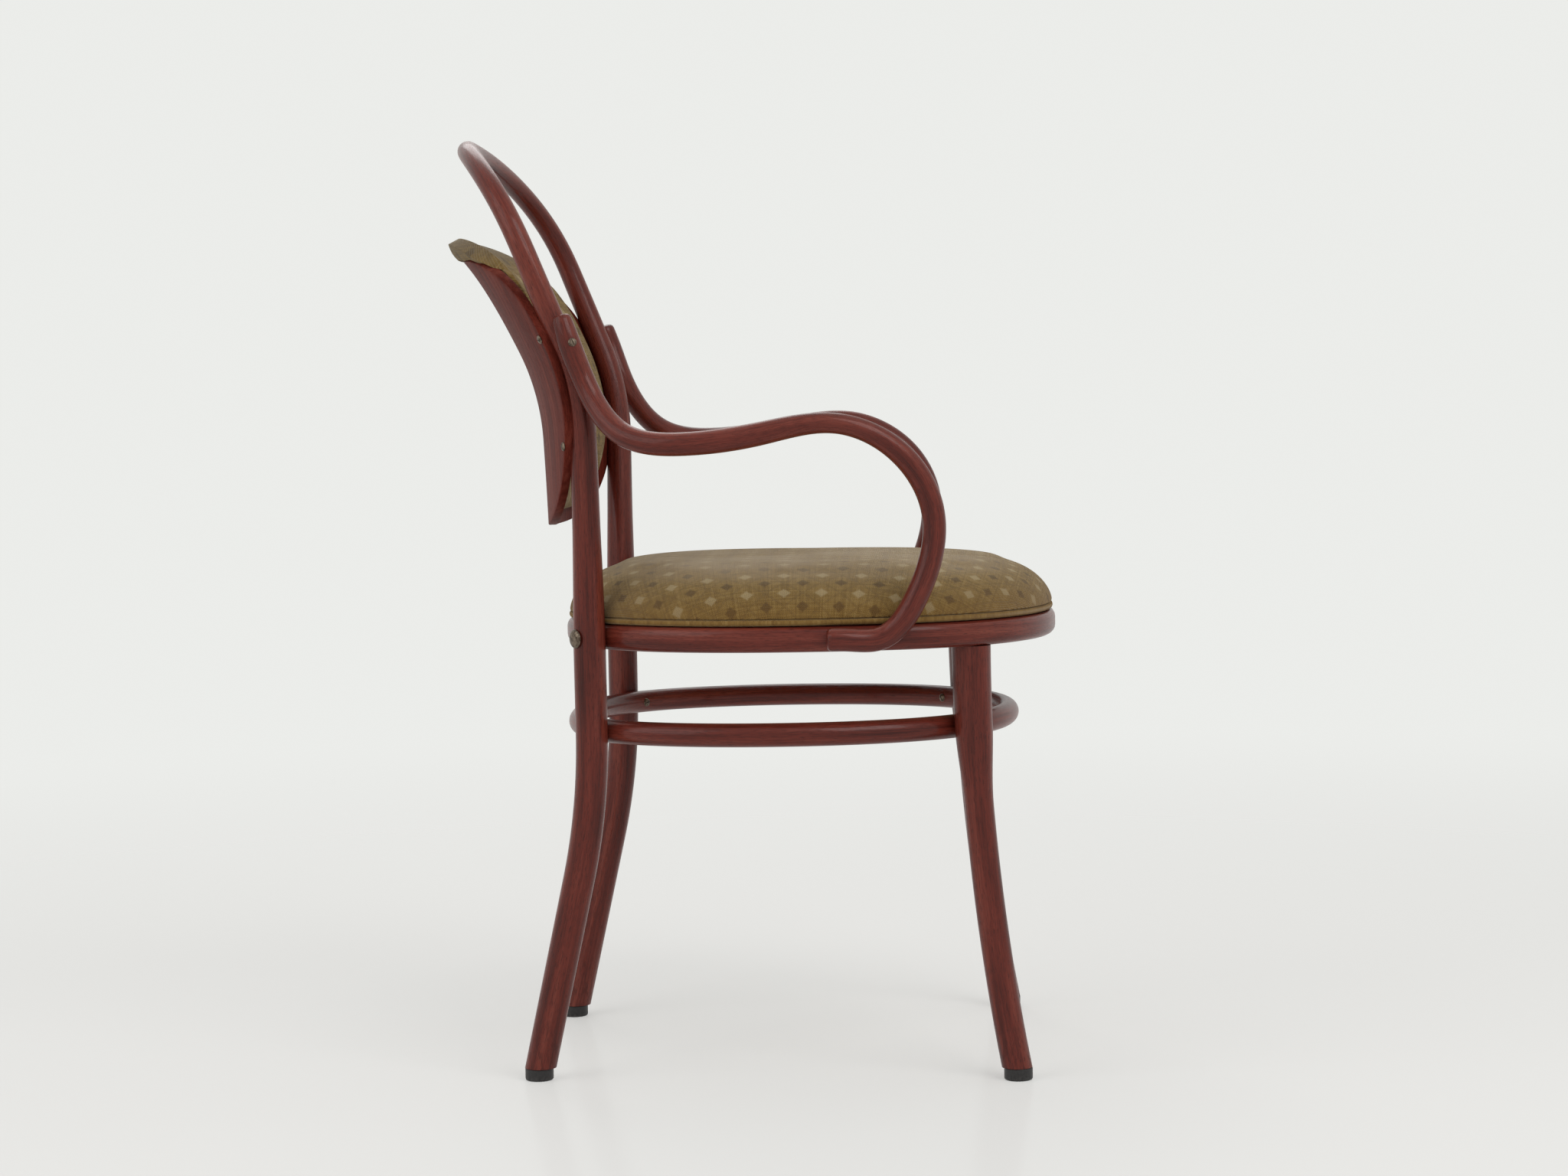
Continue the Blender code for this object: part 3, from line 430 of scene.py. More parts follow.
def dress(piece, material, slot, *nodes):
    """Give a finished piece its finish, and put it in the place of its CAD nodes."""
    piece.data.materials.clear()
    piece.data.materials.append(material)
    only(piece)
    bpy.ops.object.shade_smooth_by_angle(angle=SMOOTH_ANGLE)
    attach(piece, "root")
    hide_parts(*nodes)
    print(piece.name, "has", len(piece.data.polygons), "faces")


# %% [markdown]
# ## The back hoop
# One rod makes both rear legs and the arch of the back. It rakes rearwards below the seat, stands upright
# past the rim, then leans back into an arch that is a little squarer than a half circle and bows to the rear.
# The path is written as heights for the legs and as a superellipse for the arch, the same way that the CAD
# source has it. The rod is thickest at the rim, where it is bolted, and slimmest at the top.

# %% The seat's outline
SEAT_SQUARENESS = 2.35
FIT_GAP = 0.0003
JOINT_NEST = 0.0020
BEARING_STEP = 0.01


def seat_point(bearing, inset=0.0, height=0.0):
    """A point of the seat's outline, at a bearing from its front."""
    across = abs(sin(bearing)) / SEAT_HALF_WIDTH
    along = abs(cos(bearing)) / SEAT_HALF_DEPTH
    reach = (across**SEAT_SQUARENESS + along**SEAT_SQUARENESS) ** (-1 / SEAT_SQUARENESS)
    reach *= 1 - inset / SEAT_HALF_WIDTH
    return Vector((reach * sin(bearing), SEAT_Y - reach * cos(bearing), height))


def seat_normal(bearing):
    """The outward direction, square to the outline."""
    along = seat_point(bearing + BEARING_STEP) - seat_point(bearing - BEARING_STEP)
    return Vector((along.y, -along.x, 0)).normalized()


# %% The hoop's path
REAR_LEG_BEARING = radians(140)
REAR_LEG_RADIUS = 0.0147
REAR_FOOT_RADIUS = 0.0141
REAR_FOOT_INSET = 0.0735
REAR_FOOT_HALF_SPREAD = SEAT_HALF_WIDTH - REAR_FOOT_INSET
REAR_RAKE = (radians(12.8), 0.600)
REAR_RAKE_START = 0.315
BACK_LEAN = (radians(21.5), 0.240)
BACK_LEAN_START = 0.578
POST_NECK = 0.500
POST_NECK_RADIUS = 0.0127
HOOP_TOP = 0.847
HOOP_TOP_RADIUS = 0.0096
ARCH_RISE = 0.1083
SHOULDER = HOOP_TOP - ARCH_RISE
SHOULDER_INSET = 0.039
SHOULDER_HALF_WIDTH = SEAT_HALF_WIDTH - SHOULDER_INSET
ARCH_SQUARENESS = 2.35
HOOP_PLAN_RADIUS = 0.634
at_rim = seat_point(REAR_LEG_BEARING) + seat_normal(REAR_LEG_BEARING) * (REAR_LEG_RADIUS - JOINT_NEST)
print("the posts pass the rim at", tuple(round(x, 4) for x in at_rim.xy))


def swing(run, angle, radius):
    """How far a rod swings off its line after a run along it, in a bend of an angle and a radius."""
    if run <= 0:
        return 0.0
    turned = radius * sin(angle)
    if run < turned:
        return radius - sqrt(radius**2 - run**2)
    return radius * (1 - cos(angle)) + (run - turned) * tan(angle)


def post_y(height):
    raked = swing(REAR_RAKE_START - height, *REAR_RAKE)
    return at_rim.y + raked + swing(height - BACK_LEAN_START, *BACK_LEAN)


def post_half_spread(height):
    if height < RIM_TOP:
        return REAR_FOOT_HALF_SPREAD + (at_rim.x - REAR_FOOT_HALF_SPREAD) * min(height / RIM_MIDDLE, 1)
    share = min((height - RIM_TOP) / (SHOULDER - RIM_TOP), 1)
    return at_rim.x + (SHOULDER_HALF_WIDTH - at_rim.x) * (1 - cos(pi * share)) / 2


def post_point(height):
    return Vector((post_half_spread(height), post_y(height), height))


def post_radius(height):
    heights = (0, RIM_MIDDLE, POST_NECK, HOOP_TOP)
    radii = (REAR_FOOT_RADIUS, REAR_LEG_RADIUS, POST_NECK_RADIUS, HOOP_TOP_RADIUS)
    return float(np.interp(height, heights, radii))


# %% Back hoop
STOCK_RADIUS = 0.01
FOOT_CUT = 0.0113
FOOT_EXCESS = 0.020

half_hoop = [post_point(height) for height in np.linspace(-FOOT_EXCESS, SHOULDER, 120, endpoint=False)]
for turn in np.linspace(0, pi / 2, 60):
    height = SHOULDER + ARCH_RISE * sin(turn) ** (2 / ARCH_SQUARENESS)
    across = SHOULDER_HALF_WIDTH * max(cos(turn), 0.0) ** (2 / ARCH_SQUARENESS)
    bow = (SHOULDER_HALF_WIDTH**2 - across**2) / (2 * HOOP_PLAN_RADIUS)
    half_hoop.append(Vector((across, post_y(height) + bow, height)))
hoop_path = half_hoop + [Vector((-point.x, point.y, point.z)) for point in reversed(half_hoop[:-1])]

back_hoop = straight_dowel("bent_back_hoop", path_length(hoop_path), STOCK_RADIUS, (0.1, 0.2, 0.0), cuts=14)
bend_round(back_hoop, hoop_path, [post_radius(point.z) / STOCK_RADIUS for point in hoop_path])
edit_whole(back_hoop)
cut_level(FOOT_CUT)
dress(back_hoop, BEECH, "bentwood", "back_hoop")

# %% [markdown]
# ## The front legs
# Each front leg is turned and then bent a little, so that it sweeps forwards and outwards to the floor. It is
# slim up to the stretcher, and swells in an eased curve into the thick top that holds its tenon. The left leg
# is made from its own path, and the right one from the mirrored path, so that each has its own grain.

# %% Front legs
FRONT_LEG_BEARING = radians(48)
RIM_WIDTH = 0.040
LEG_SPLAY = 0.014
LEG_SWEEP = 0.037
LEG_SLIM_RADII = (0.0136, 0.0132)
LEG_THICK_RADII = (0.0166, 0.0178)
LEG_SWELL_START = 0.245
LEG_SWELL_LENGTH = 0.073
SIDES = {"left": 1, "right": -1}


def front_leg_point(height):
    top = seat_point(FRONT_LEG_BEARING, RIM_WIDTH / 2)
    drop = ((RIM_BOTTOM - height) / RIM_BOTTOM) ** 2
    return Vector((top.x + LEG_SPLAY * drop, top.y - LEG_SWEEP * drop, height))


def front_leg_radius(height):
    slim = np.interp(height, (0, LEG_SWELL_START), LEG_SLIM_RADII)
    thick = np.interp(height, (LEG_SWELL_START, RIM_BOTTOM), LEG_THICK_RADII)
    share = min(max((height - LEG_SWELL_START) / LEG_SWELL_LENGTH, 0), 1)
    return float(slim + (thick - slim) * share * share * (3 - 2 * share))


def mirrored(point, side):
    return Vector((point[0] * side, point[1], point[2]))


leg_heights = np.linspace(-FOOT_EXCESS, RIM_BOTTOM - FIT_GAP, 120)
for name, side in SIDES.items():
    path = [mirrored(front_leg_point(height), side) for height in leg_heights]
    leg = straight_dowel(f"turned_front_leg_{name}", path_length(path), STOCK_RADIUS, (0.3 * side, 0.7, 0.0))
    bend_round(leg, path, [front_leg_radius(height) / STOCK_RADIUS for height in leg_heights])
    edit_whole(leg)
    cut_level(FOOT_CUT)
    dress(leg, BEECH, "bentwood", f"front_leg_{name}")

# %% [markdown]
# ## The stretcher ring
# A closed ring ties the four legs together below the seat. It is one rod whose ends are scarfed and glued.
# Its path runs through its front, sides and rear and past the inside of each leg, on the smoothest curve
# through those points, so the ring keeps its roundness between them.


# %% Stretcher ring
def smooth_path(knots, count, first=0, last=-1):
    """Evenly spaced points on the natural cubic spline through the knots, over their chord length."""
    knots = np.asarray(knots, float)
    chord = np.linalg.norm(np.diff(knots[:, :3], axis=0), axis=1)
    place = np.concatenate([[0.0], np.cumsum(chord)])
    slope = np.diff(knots, axis=0) / chord[:, None]
    system = np.eye(len(place))
    wanted = np.zeros_like(knots)
    for i in range(1, len(chord)):
        system[i, i - 1 : i + 2] = chord[i - 1], 2 * (chord[i - 1] + chord[i]), chord[i]
        wanted[i] = 6 * (slope[i] - slope[i - 1])
    curl = np.linalg.solve(system, wanted)
    at = np.linspace(place[first], place[last], count)
    span = np.searchsorted(place[1:-1], at, side="right")
    width = chord[span][:, None]
    before = (place[span + 1] - at)[:, None]
    after = (at - place[span])[:, None]
    curve = (curl[span] * before**3 + curl[span + 1] * after**3) / (6 * width)
    curve += (knots[span] / width - curl[span] * width / 6) * before
    curve += (knots[span + 1] / width - curl[span + 1] * width / 6) * after
    return curve


RING_HEIGHT = 0.3146
RING_RADIUS = 0.01075
RING_INSET = 0.0278
RING_SETBACK = 0.018
RING_LAP = 3
ring_middle = Vector((0, SEAT_Y + RING_SETBACK, RING_HEIGHT))


def inside_leg(leg, radius):
    """Where the ring's middle line passes a leg, let a little into it."""
    return leg - (leg - ring_middle).normalized() * (radius + RING_RADIUS - JOINT_NEST)


ring_left = [
    inside_leg(front_leg_point(RING_HEIGHT), front_leg_radius(RING_HEIGHT)),
    ring_middle + Vector((SEAT_HALF_WIDTH - RING_INSET, 0, 0)),
    inside_leg(post_point(RING_HEIGHT), post_radius(RING_HEIGHT)),
]
ring_right = [mirrored(point, -1) for point in reversed(ring_left)]
ring_reach = Vector((0, SEAT_HALF_DEPTH - RING_INSET, 0))
ring_knots = [ring_middle + ring_reach, *ring_right, ring_middle - ring_reach, *ring_left]
around = ring_knots[-RING_LAP:] + ring_knots + ring_knots[: RING_LAP + 1]
ring_path = smooth_path([tuple(knot) for knot in around], 241, RING_LAP, RING_LAP + len(ring_knots))[:-1]
ring_length = path_length(ring_path, True)

ring = straight_dowel("bent_stretcher_ring", ring_length, RING_RADIUS, (0.5, 0.4, 0.3), "NOTHING")
bend_round(ring, ring_path, closed=True)
dress(ring, BEECH, "bentwood", "stretcher_ring")

# %% [markdown]
# ## The arms
# Each arm lies against the outside of the hoop, swings out and forward, rises to a low crest where the hand
# rests, and turns down in a tight knee. Its lower end sweeps back along the side of the rim, where two screws
# hold it. The crest is a little slimmer than the rest. Both ends of the rod are rounded over.

# %% Arms
ARM_RADIUS = 0.0104
ARM_TOP_RADIUS = 0.0086
ARM_CREST_RADIUS = 0.0091
ARM_END_ROUND = 0.0045
ARM_BOW = SEAT_HALF_WIDTH + 0.017
ARM_FRONT = SEAT_HALF_WIDTH + 0.004
ARM_TURN = SEAT_HALF_WIDTH - 0.001
ARM_FOOT_BEARINGS = (radians(74), radians(81), radians(85))


def beside_post(height, advance, radius=ARM_RADIUS):
    """A point outside the left post and forward of it, where the arm lies in its nest."""
    reach = post_radius(height) + radius - JOINT_NEST
    return post_point(height) + Vector((sqrt(reach**2 - advance**2), -advance, 0))


def on_arm(half_spread, advance, height):
    return Vector((half_spread, SEAT_Y - advance, height))


def beside_rim(bearing):
    return seat_point(bearing, 0, RIM_MIDDLE) + seat_normal(bearing) * (ARM_RADIUS - JOINT_NEST)


dip = on_arm(ARM_BOW, -0.100, 0.5735)
crest = on_arm(ARM_BOW, 0.032, 0.589)
arm_line = [
    beside_post(0.688, 0.0105, ARM_TOP_RADIUS),
    beside_post(0.664, 0.008),
    beside_post(0.636, 0.009),
    on_arm(ARM_TURN, -0.153, 0.582),
    dip,
    (dip + crest) / 2,
    crest,
    on_arm((ARM_BOW + 2 * ARM_FRONT) / 3, 0.093, 0.556),
    on_arm(ARM_FRONT, 0.114, 0.515),
    on_arm(ARM_FRONT, 0.100, 0.438),
    *(beside_rim(bearing) for bearing in ARM_FOOT_BEARINGS),
]
arm_radii = [ARM_RADIUS] * len(arm_line)
arm_radii[0] = ARM_TOP_RADIUS
arm_radii[arm_line.index(crest)] = ARM_CREST_RADIUS
arm_rows = smooth_path([(*point, radius) for point, radius in zip(arm_line, arm_radii)], 200)

for name, side in SIDES.items():
    path = [mirrored(row[:3], side) for row in arm_rows]
    stock = (path_length(path), STOCK_RADIUS, (0.9, 0.3 * side, 0.5))
    arm = straight_dowel(f"bent_arm_{name}", *stock, rounded=ARM_END_ROUND)
    bend_round(arm, path, [row[3] / STOCK_RADIUS for row in arm_rows])
    dress(arm, BEECH, "bentwood", f"arm_{name}")

# %% [markdown]
# ## The seat rim
# The rim is a flat strip, 40 mm wide, bent on edge into a rounded square. A torus would have the wrong
# section, so it starts as a straight plank with its outer edges rounded more than its inner ones. It is bent
# the same way as the rods, round the outer outline of the seat.

# %% Seat rim
RIM_OUTER_ROUND = 0.0080
RIM_INNER_ROUND = 0.0030
FACING = 0.9
seat_turns = np.linspace(pi, 3 * pi, 240, endpoint=False)
rim_path = [seat_point(bearing) for bearing in seat_turns]
rim_length = path_length(rim_path, True)

deselect()
bpy.ops.mesh.primitive_cube_add(size=1, location=(RIM_WIDTH / 2, RIM_MIDDLE, rim_length / 2))
rim = added("bent_seat_rim")
rim.scale = (RIM_WIDTH, RIM_TOP - RIM_BOTTOM, rim_length)
bpy.ops.object.transform_apply(location=True, scale=True)


def pick_faces(piece, wanted):
    """Go into edit mode with just the faces selected that pass a test."""
    start_picking(piece, faces=True)
    for face in piece.data.polygons:
        face.select = wanted(face)
    edit_mode()


for side_x, width in ((0.0, RIM_OUTER_ROUND), (RIM_WIDTH, RIM_INNER_ROUND)):
    pick_edges(
        rim,
        lambda one, other: lengthwise(one, other) and abs(one.x - side_x) + abs(other.x - side_x) < TOUCH,
    )
    bpy.ops.mesh.bevel(offset=width, segments=5)
    object_mode()
pick_faces(rim, lambda face: abs(face.normal.z) > FACING)
bpy.ops.mesh.delete(type="FACE")
object_mode()
cut_into_rings(rim, 14)
keep_grain(rim, (0.2, 0.1, 0.7))
bend_round(rim, rim_path, closed=True)
dress(rim, BEECH, "bentwood", "seat_rim")
print("rim box", [tuple(round(x, 4) for x in corner) for corner in rim.bound_box][::6])

# %% [markdown]
# ## The back panel
# The back is a sheet of plywood that was moulded in a press: it bends round the sitter, and more tightly
# towards its top. It is screwed to the rear of the hoop's two posts. A flat grid can't be folded into that
# shape by hand with any precision, so each of its points is moved to the formula of the CAD panel, and
# Solidify and Bevel then give it its thickness and its eased edges. Its veneer's grain runs upwards.

# %% Back panel shape
PANEL_BOTTOM = 0.498
PANEL_DROP = 0.098
PANEL_TOP = HOOP_TOP - PANEL_DROP
PANEL_MIDDLE = (PANEL_BOTTOM + PANEL_TOP) / 2
PANEL_HALF_HEIGHT = (PANEL_TOP - PANEL_BOTTOM) / 2
PANEL_THICKNESS = 0.008
PANEL_OVERLAP = 0.010
PANEL_SQUARENESS = 3.2
PANEL_RADIUS = 0.460
PANEL_TIGHTENING = 0.150
print("panel from", PANEL_BOTTOM, "up to", PANEL_TOP)


def lean_at(height):
    angle, radius = BACK_LEAN
    return asin(min(max(height - BACK_LEAN_START, 0.0), radius * sin(angle)) / radius)


def panel_front(x, height):
    """Y of the panel's front face, which lies against the backs of the posts and bends back between them."""
    half = post_half_spread(height)
    share = max((height - PANEL_BOTTOM) / (PANEL_TOP - PANEL_BOTTOM), 0.0)
    radius = PANEL_RADIUS - PANEL_TIGHTENING * share**4
    slant = sqrt(1 + (half / radius) ** 2 + tan(lean_at(height)) ** 2)
    return post_y(height) + (post_radius(height) - JOINT_NEST) * slant + (half**2 - x**2) / (2 * radius)


def roundness(x, y):
    """How far out a point of a rounded square lies, from 0 in its middle to 1 at its edge."""
    return (abs(x) ** PANEL_SQUARENESS + abs(y) ** PANEL_SQUARENESS) ** (1 / PANEL_SQUARENESS)


def rounded_sheet(name, columns, rows):
    """A grid of half side 1, drawn in to a rounder outline."""
    deselect()
    bpy.ops.mesh.primitive_grid_add(x_subdivisions=columns, y_subdivisions=rows, size=2)
    sheet = added(name)
    for vertex in sheet.data.vertices:
        reach = max(abs(vertex.co.x), abs(vertex.co.y))
        if reach > 0:
            vertex.co *= reach / roundness(vertex.co.x, vertex.co.y)
    return sheet


# %% Back panel
EASED_EDGE = 0.0012
SHARP_ANGLE = radians(50)
VENEER_OFFSET = 0.4

panel = rounded_sheet("moulded_back_panel", 80, 56)
for vertex in panel.data.vertices:
    height = PANEL_MIDDLE + vertex.co.y * PANEL_HALF_HEIGHT
    x = vertex.co.x * (post_half_spread(height) + PANEL_OVERLAP)
    vertex.co = (x, panel_front(x, height), height)
apply_modifier(panel, "plies", "SOLIDIFY", thickness=PANEL_THICKNESS, offset=-1, use_even_offset=True)
apply_modifier(panel, "eased_edge", "BEVEL", width=EASED_EDGE, segments=2, angle_limit=SHARP_ANGLE)


def veneer_place(point):
    return (point.x + VENEER_OFFSET, point.y - panel_front(point.x, point.z), point.z)


keep_grain(panel, places=[veneer_place(vertex.co) for vertex in panel.data.vertices])
dress(panel, VENEER, "back_plywood", "back_panel")

# %% [markdown]
# ## Upholstery cloth
# The cloth is an olive plain weave with a small woven lozenge pattern, a traditional one: pale lozenges and
# dark ones in turn, on a fine trellis. A pattern laid on Object coordinates would smear down the cushion's
# sides, so each soft piece keeps an attribute called `cloth`, the place of each point on the cloth while it
# was still flat. The pattern is snapped to whole yarns, which gives its edges their small steps. Each yarn
# also varies a little in colour, as spun yarn does. Patches on the top of the seat are painted paler, partly
# as fading and partly as painted light from above. The foot of the cushion is painted browner and darker as
# painted shade, and the top of the back is painted a darker grey as painted shade.

# %% Finish: olive cloth
YARN = 0.0012
LOZENGE_PITCH = 0.036
OLIVE = ((0.150, 0.087, 0.022), (0.236, 0.145, 0.038), (0.322, 0.212, 0.070))
TRELLIS = (0.140, 0.085, 0.028)
PALE_LOZENGE = (0.470, 0.370, 0.200)
DARK_LOZENGE = (0.075, 0.040, 0.013)
# Painted shade: a darker brown for the foot of the cushion and the welt.
SHADED_FOOT_BROWN = (0.200, 0.085, 0.018)
# Painted shade: a darker grey for the roll at the top of the back pad.
ROLL_SHADE_GREY = (0.125, 0.108, 0.086)
# Paler colour for the seat's top: partly fading, partly painted light from above.
FADED_AND_LIT = (0.520, 0.420, 0.300)
YARN_SHADOW = (0.090, 0.058, 0.020)
SHADED_FOOT_HEIGHTS = (0.408, 0.456)
FADED_AND_LIT_FROM = (0.446, 0.466)
FADED_AND_LIT_UP_TO = (0.49, 0.50)
ROLL_SHADE_HEIGHTS = (0.730, 0.762)


def woven_cloth(name, figure):
    """figure is how strongly the lozenges and the trellis show."""
    material, cloth = start_finish(name, "cloth")
    stitch = cloth.node("ShaderNodeVectorMath", {"operation": "SNAP"}, {0: cloth, 1: (YARN, YARN, YARN)})
    across, along = (abs((stitch.along(axis) / LOZENGE_PITCH).math("FRACT") - 0.5) for axis in "XY")
    lozenge = across + along
    pale_spot = figure * (1 - lozenge.rise(0.14, 0.22))
    dark_spot = figure * lozenge.rise(0.79, 0.86)
    trellis = figure * (1 - abs(lozenge - 0.5).rise(0.02, 0.06))

    warp, weft = (abs((cloth.along(axis) * (pi / YARN)).math("SINE")) for axis in "XY")
    rows = sum((cloth.along(axis) / YARN).math("FLOOR") for axis in "XY")
    over = rows.math("PINGPONG", 1.0)
    weave = over * warp + (1 - over) * weft
    slub = 0.5 * sum(cloth.stretched(*way).noise(700, 1.0) for way in ((1, 0.03, 1), (0.03, 1, 1)))
    worn = cloth.noise(9, 3.0, 0.6)

    height = cloth.node("ShaderNodeTexCoord", output="Object").along("Z")
    # Paler patches on the seat's top, partly fading and partly painted light from above.
    faded_and_lit = height.rise(*FADED_AND_LIT_FROM) * (1 - height.rise(*FADED_AND_LIT_UP_TO)) * worn.rise(0.05, 0.75)
    ground = slub.ramp(*zip((0.30, 0.50, 0.70), OLIVE))
    for mask, colour in (
        (trellis * 0.40, TRELLIS),
        (pale_spot * 0.60, PALE_LOZENGE),
        (dark_spot * 0.70, DARK_LOZENGE),
        # Painted shade: darker and browner towards the cushion's foot.
        ((1 - height.rise(*SHADED_FOOT_HEIGHTS)) * 0.35, SHADED_FOOT_BROWN),
        # Painted shade: the top of the back pad and its roll are darkened to grey.
        (height.rise(*ROLL_SHADE_HEIGHTS) * 0.55, ROLL_SHADE_GREY),
        # Painted light from above, mixed with fading, on the seat's top.
        (faded_and_lit * 0.56, FADED_AND_LIT),
        ((1 - weave) * 0.28, YARN_SHADOW),
    ):
        ground = mask.blend(ground, colour)
    roughness = 0.78 + 0.18 * slub - 0.05 * pale_spot
    relief = weave * 0.7 + slub * 0.5 + pale_spot * 0.4 + worn * 2.5
    constants = {"Sheen Weight": 0.22, "Sheen Roughness": 0.40, "Sheen Tint": (1.0, 0.93, 0.80, 1.0)}
    constants["Specular IOR Level"] = 0.12
    complete(material, ground, roughness, relief, 0.0006, constants)
    return material


CLOTH = woven_cloth("olive_cloth", 1.0)
PLAIN_CLOTH = woven_cloth("plain_olive_cloth", 0.0)


def keep_cloth(piece, flat_place):
    """Keep where each point lay on the flat cloth."""
    mesh = piece.data
    flat = np.array([(*flat_place(vertex.co), 0.5 * YARN) for vertex in mesh.vertices], np.float32)
    mesh.attributes.new("cloth", "FLOAT_VECTOR", "POINT").data.foreach_set("vector", flat.ravel())


# %% [markdown]
# ## Stuffing
# A cushion gets its shape from what pushes from inside and from where the cloth is tacked down. Blender's
# cloth has a pressure for just that. The skin starts a little lower than it should end, its foot is pinned,
# and the pressure swells it for twenty frames with gravity off. The movement of each point is then capped, so
# the skin stays in the room that the CAD solid has, and it only counts outwards, because the stuffing can
# push but not pull.

# %% Stuffing
SWELL_FRAMES = 20
SKIN = {
    "quality": 6,
    "mass": 0.3,
    "tension_stiffness": 18,
    "compression_stiffness": 18,
    "shear_stiffness": 6,
    "bending_stiffness": 0.6,
    "use_pressure": True,
    "vertex_group_mass": "tacked",
}


def points_of(piece):
    places = np.empty(len(piece.data.vertices) * 3, np.float32)
    piece.data.vertices.foreach_get("co", places)
    return places.reshape(-1, 3)


def stuff(piece, tacked, pressure, most):
    """Swell a skin by cloth simulation. tacked points stay, and most caps how far a point is pushed."""
    before = points_of(piece)
    outward = np.array([vertex.normal for vertex in piece.data.vertices], np.float32)
    group = piece.vertex_groups.new(name="tacked")
    group.add([int(index) for index in np.flatnonzero(tacked)], 1.0, "REPLACE")
    only(piece)
    cloth = piece.modifiers.new("stuffing", "CLOTH")
    for setting, value in SKIN.items():
        setattr(cloth.settings, setting, value)
    cloth.settings.uniform_pressure_force = pressure
    cloth.settings.effector_weights.gravity = 0
    cloth.point_cache.frame_start = 1
    cloth.point_cache.frame_end = SWELL_FRAMES
    for number in range(1, SWELL_FRAMES + 1):
        bpy.context.scene.frame_set(number)
    bpy.ops.object.modifier_apply(modifier=cloth.name)
    bpy.context.scene.frame_set(1)
    push = ((points_of(piece) - before) * outward).sum(axis=1)
    stuffed = before + outward * np.clip(push, 0, most)[:, None]
    piece.data.vertices.foreach_set("co", stuffed.ravel())
    piece.data.update()
    print(piece.name, "pushed out by up to", round(float(push.max()) * 1000, 1), "mm before the cap")


def soften(piece):
    apply_modifier(piece, "soft_skin", "SUBSURF", levels=1, render_levels=1)


# %% [markdown]
# ## The seat cushion
# The cushion is a low dome with a round nose, on a plywood board that sits in a pocket under it. Its profile
# is spun round the seat's middle, and each point is then pushed out from a circle to the seat's own outline.
# The Spin operator could do that, but a Screw modifier gives the points in the same order in each run, and so
# the stuffing comes out the same too. After the stuffing, small gathers are drawn in along the foot, where
# the cloth is pulled down and tacked, and the rear is made a little fuller, because use has flattened the
# front more.

# %% Seat cushion
SEAT_BASE = RIM_TOP + FIT_GAP
board_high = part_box("seat_board")[1]
POCKET = board_high.x + FIT_GAP
POCKET_TOP = board_high.z + FIT_GAP
CUSHION_WIDEST = SEAT_HALF_WIDTH - 0.0025
CUSHION_FOOT = SEAT_HALF_WIDTH - 0.0083
CUSHION_BULGE = SEAT_BASE + 0.007
CUSHION_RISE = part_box("seat_cushion")[1].z - CUSHION_BULGE
CUSHION_SWELL = 0.0025
CUSHION_PRESSURE = 4.0
CROWN_FLATNESS = 7
CROWN_FULLNESS = 0.625
REAR_FULLNESS = 0.014
TACK_LINE = SEAT_BASE + 0.005
TACK_MARGIN = 0.001
GATHERS = ((37, 1.0, 0), (61, 0.6, 1), (97, 0.4, 2))
GATHER_DEPTH = 0.0005
GATHER_REACH = 0.012


def profile_points():
    """The cushion's profile as (radius, height), from the middle of its top to that of its underside."""
    points = []
    for share in np.sin(np.linspace(0.0, pi / 2, 46)):
        rise = (CUSHION_RISE - CUSHION_SWELL) * (1 - share**CROWN_FLATNESS) ** CROWN_FULLNESS
        points.append((CUSHION_WIDEST * share, CUSHION_BULGE + rise))
    points += [(CUSHION_WIDEST - 0.0008, CUSHION_BULGE - 0.0012), (CUSHION_FOOT, SEAT_BASE + 0.0058)]
    points += [(CUSHION_FOOT, SEAT_BASE + FIT_GAP), (POCKET, SEAT_BASE + FIT_GAP), (POCKET, POCKET_TOP)]
    points += [(POCKET * share, POCKET_TOP) for share in (0.97, 0.85, 0.6, 0.3, 0.0)]
    return points


def spun_seat_form(name, points, steps):
    """Spin a profile once round, weld it, and push it out to the seat's outline."""
    mesh = bpy.data.meshes.new(name)
    places = [(radius, 0, height) for radius, height in points]
    mesh.from_pydata(places, [(i, i + 1) for i in range(len(places) - 1)], [])
    form = bpy.data.objects.new(name, mesh)
    bpy.context.scene.collection.objects.link(form)
    turning = {"axis": "Z", "angle": 2 * pi, "steps": steps, "render_steps": steps}
    apply_modifier(form, "spun", "SCREW", **turning, use_merge_vertices=True, merge_threshold=TOUCH)
    edit_whole(form)
    close_seams(TOUCH)
    for vertex in form.data.vertices:
        if vertex.co.xy.length > TOUCH:
            wide = seat_point(np.arctan2(vertex.co.x, -vertex.co.y)) - Vector((0, SEAT_Y, 0))
            vertex.co.xy *= wide.length / SEAT_HALF_WIDTH
        vertex.co.y += SEAT_Y
    return form


cushion = spun_seat_form("stuffed_seat_cushion", profile_points(), 200)
stuff(cushion, points_of(cushion)[:, 2] < CUSHION_BULGE - TACK_MARGIN, CUSHION_PRESSURE, CUSHION_SWELL)
for vertex in cushion.data.vertices:
    bearing = np.arctan2(vertex.co.x, SEAT_Y - vertex.co.y)
    if vertex.co.z > TACK_LINE:
        gather = sum(strength * sin(waves * bearing + offset) for waves, strength, offset in GATHERS)
        near_welt = max(1 - abs(vertex.co.z - CUSHION_BULGE) / GATHER_REACH, 0)
        vertex.co.xy -= seat_normal(bearing).xy * GATHER_DEPTH * (1 + gather / 2) * near_welt
    height_share = max((vertex.co.z - CUSHION_BULGE) / CUSHION_RISE, 0)
    vertex.co.z += REAR_FULLNESS * max(vertex.co.y - SEAT_Y, 0) * height_share
soften(cushion)
CLOTH_DRAW = 0.8
FLAT_CROWN = 0.15


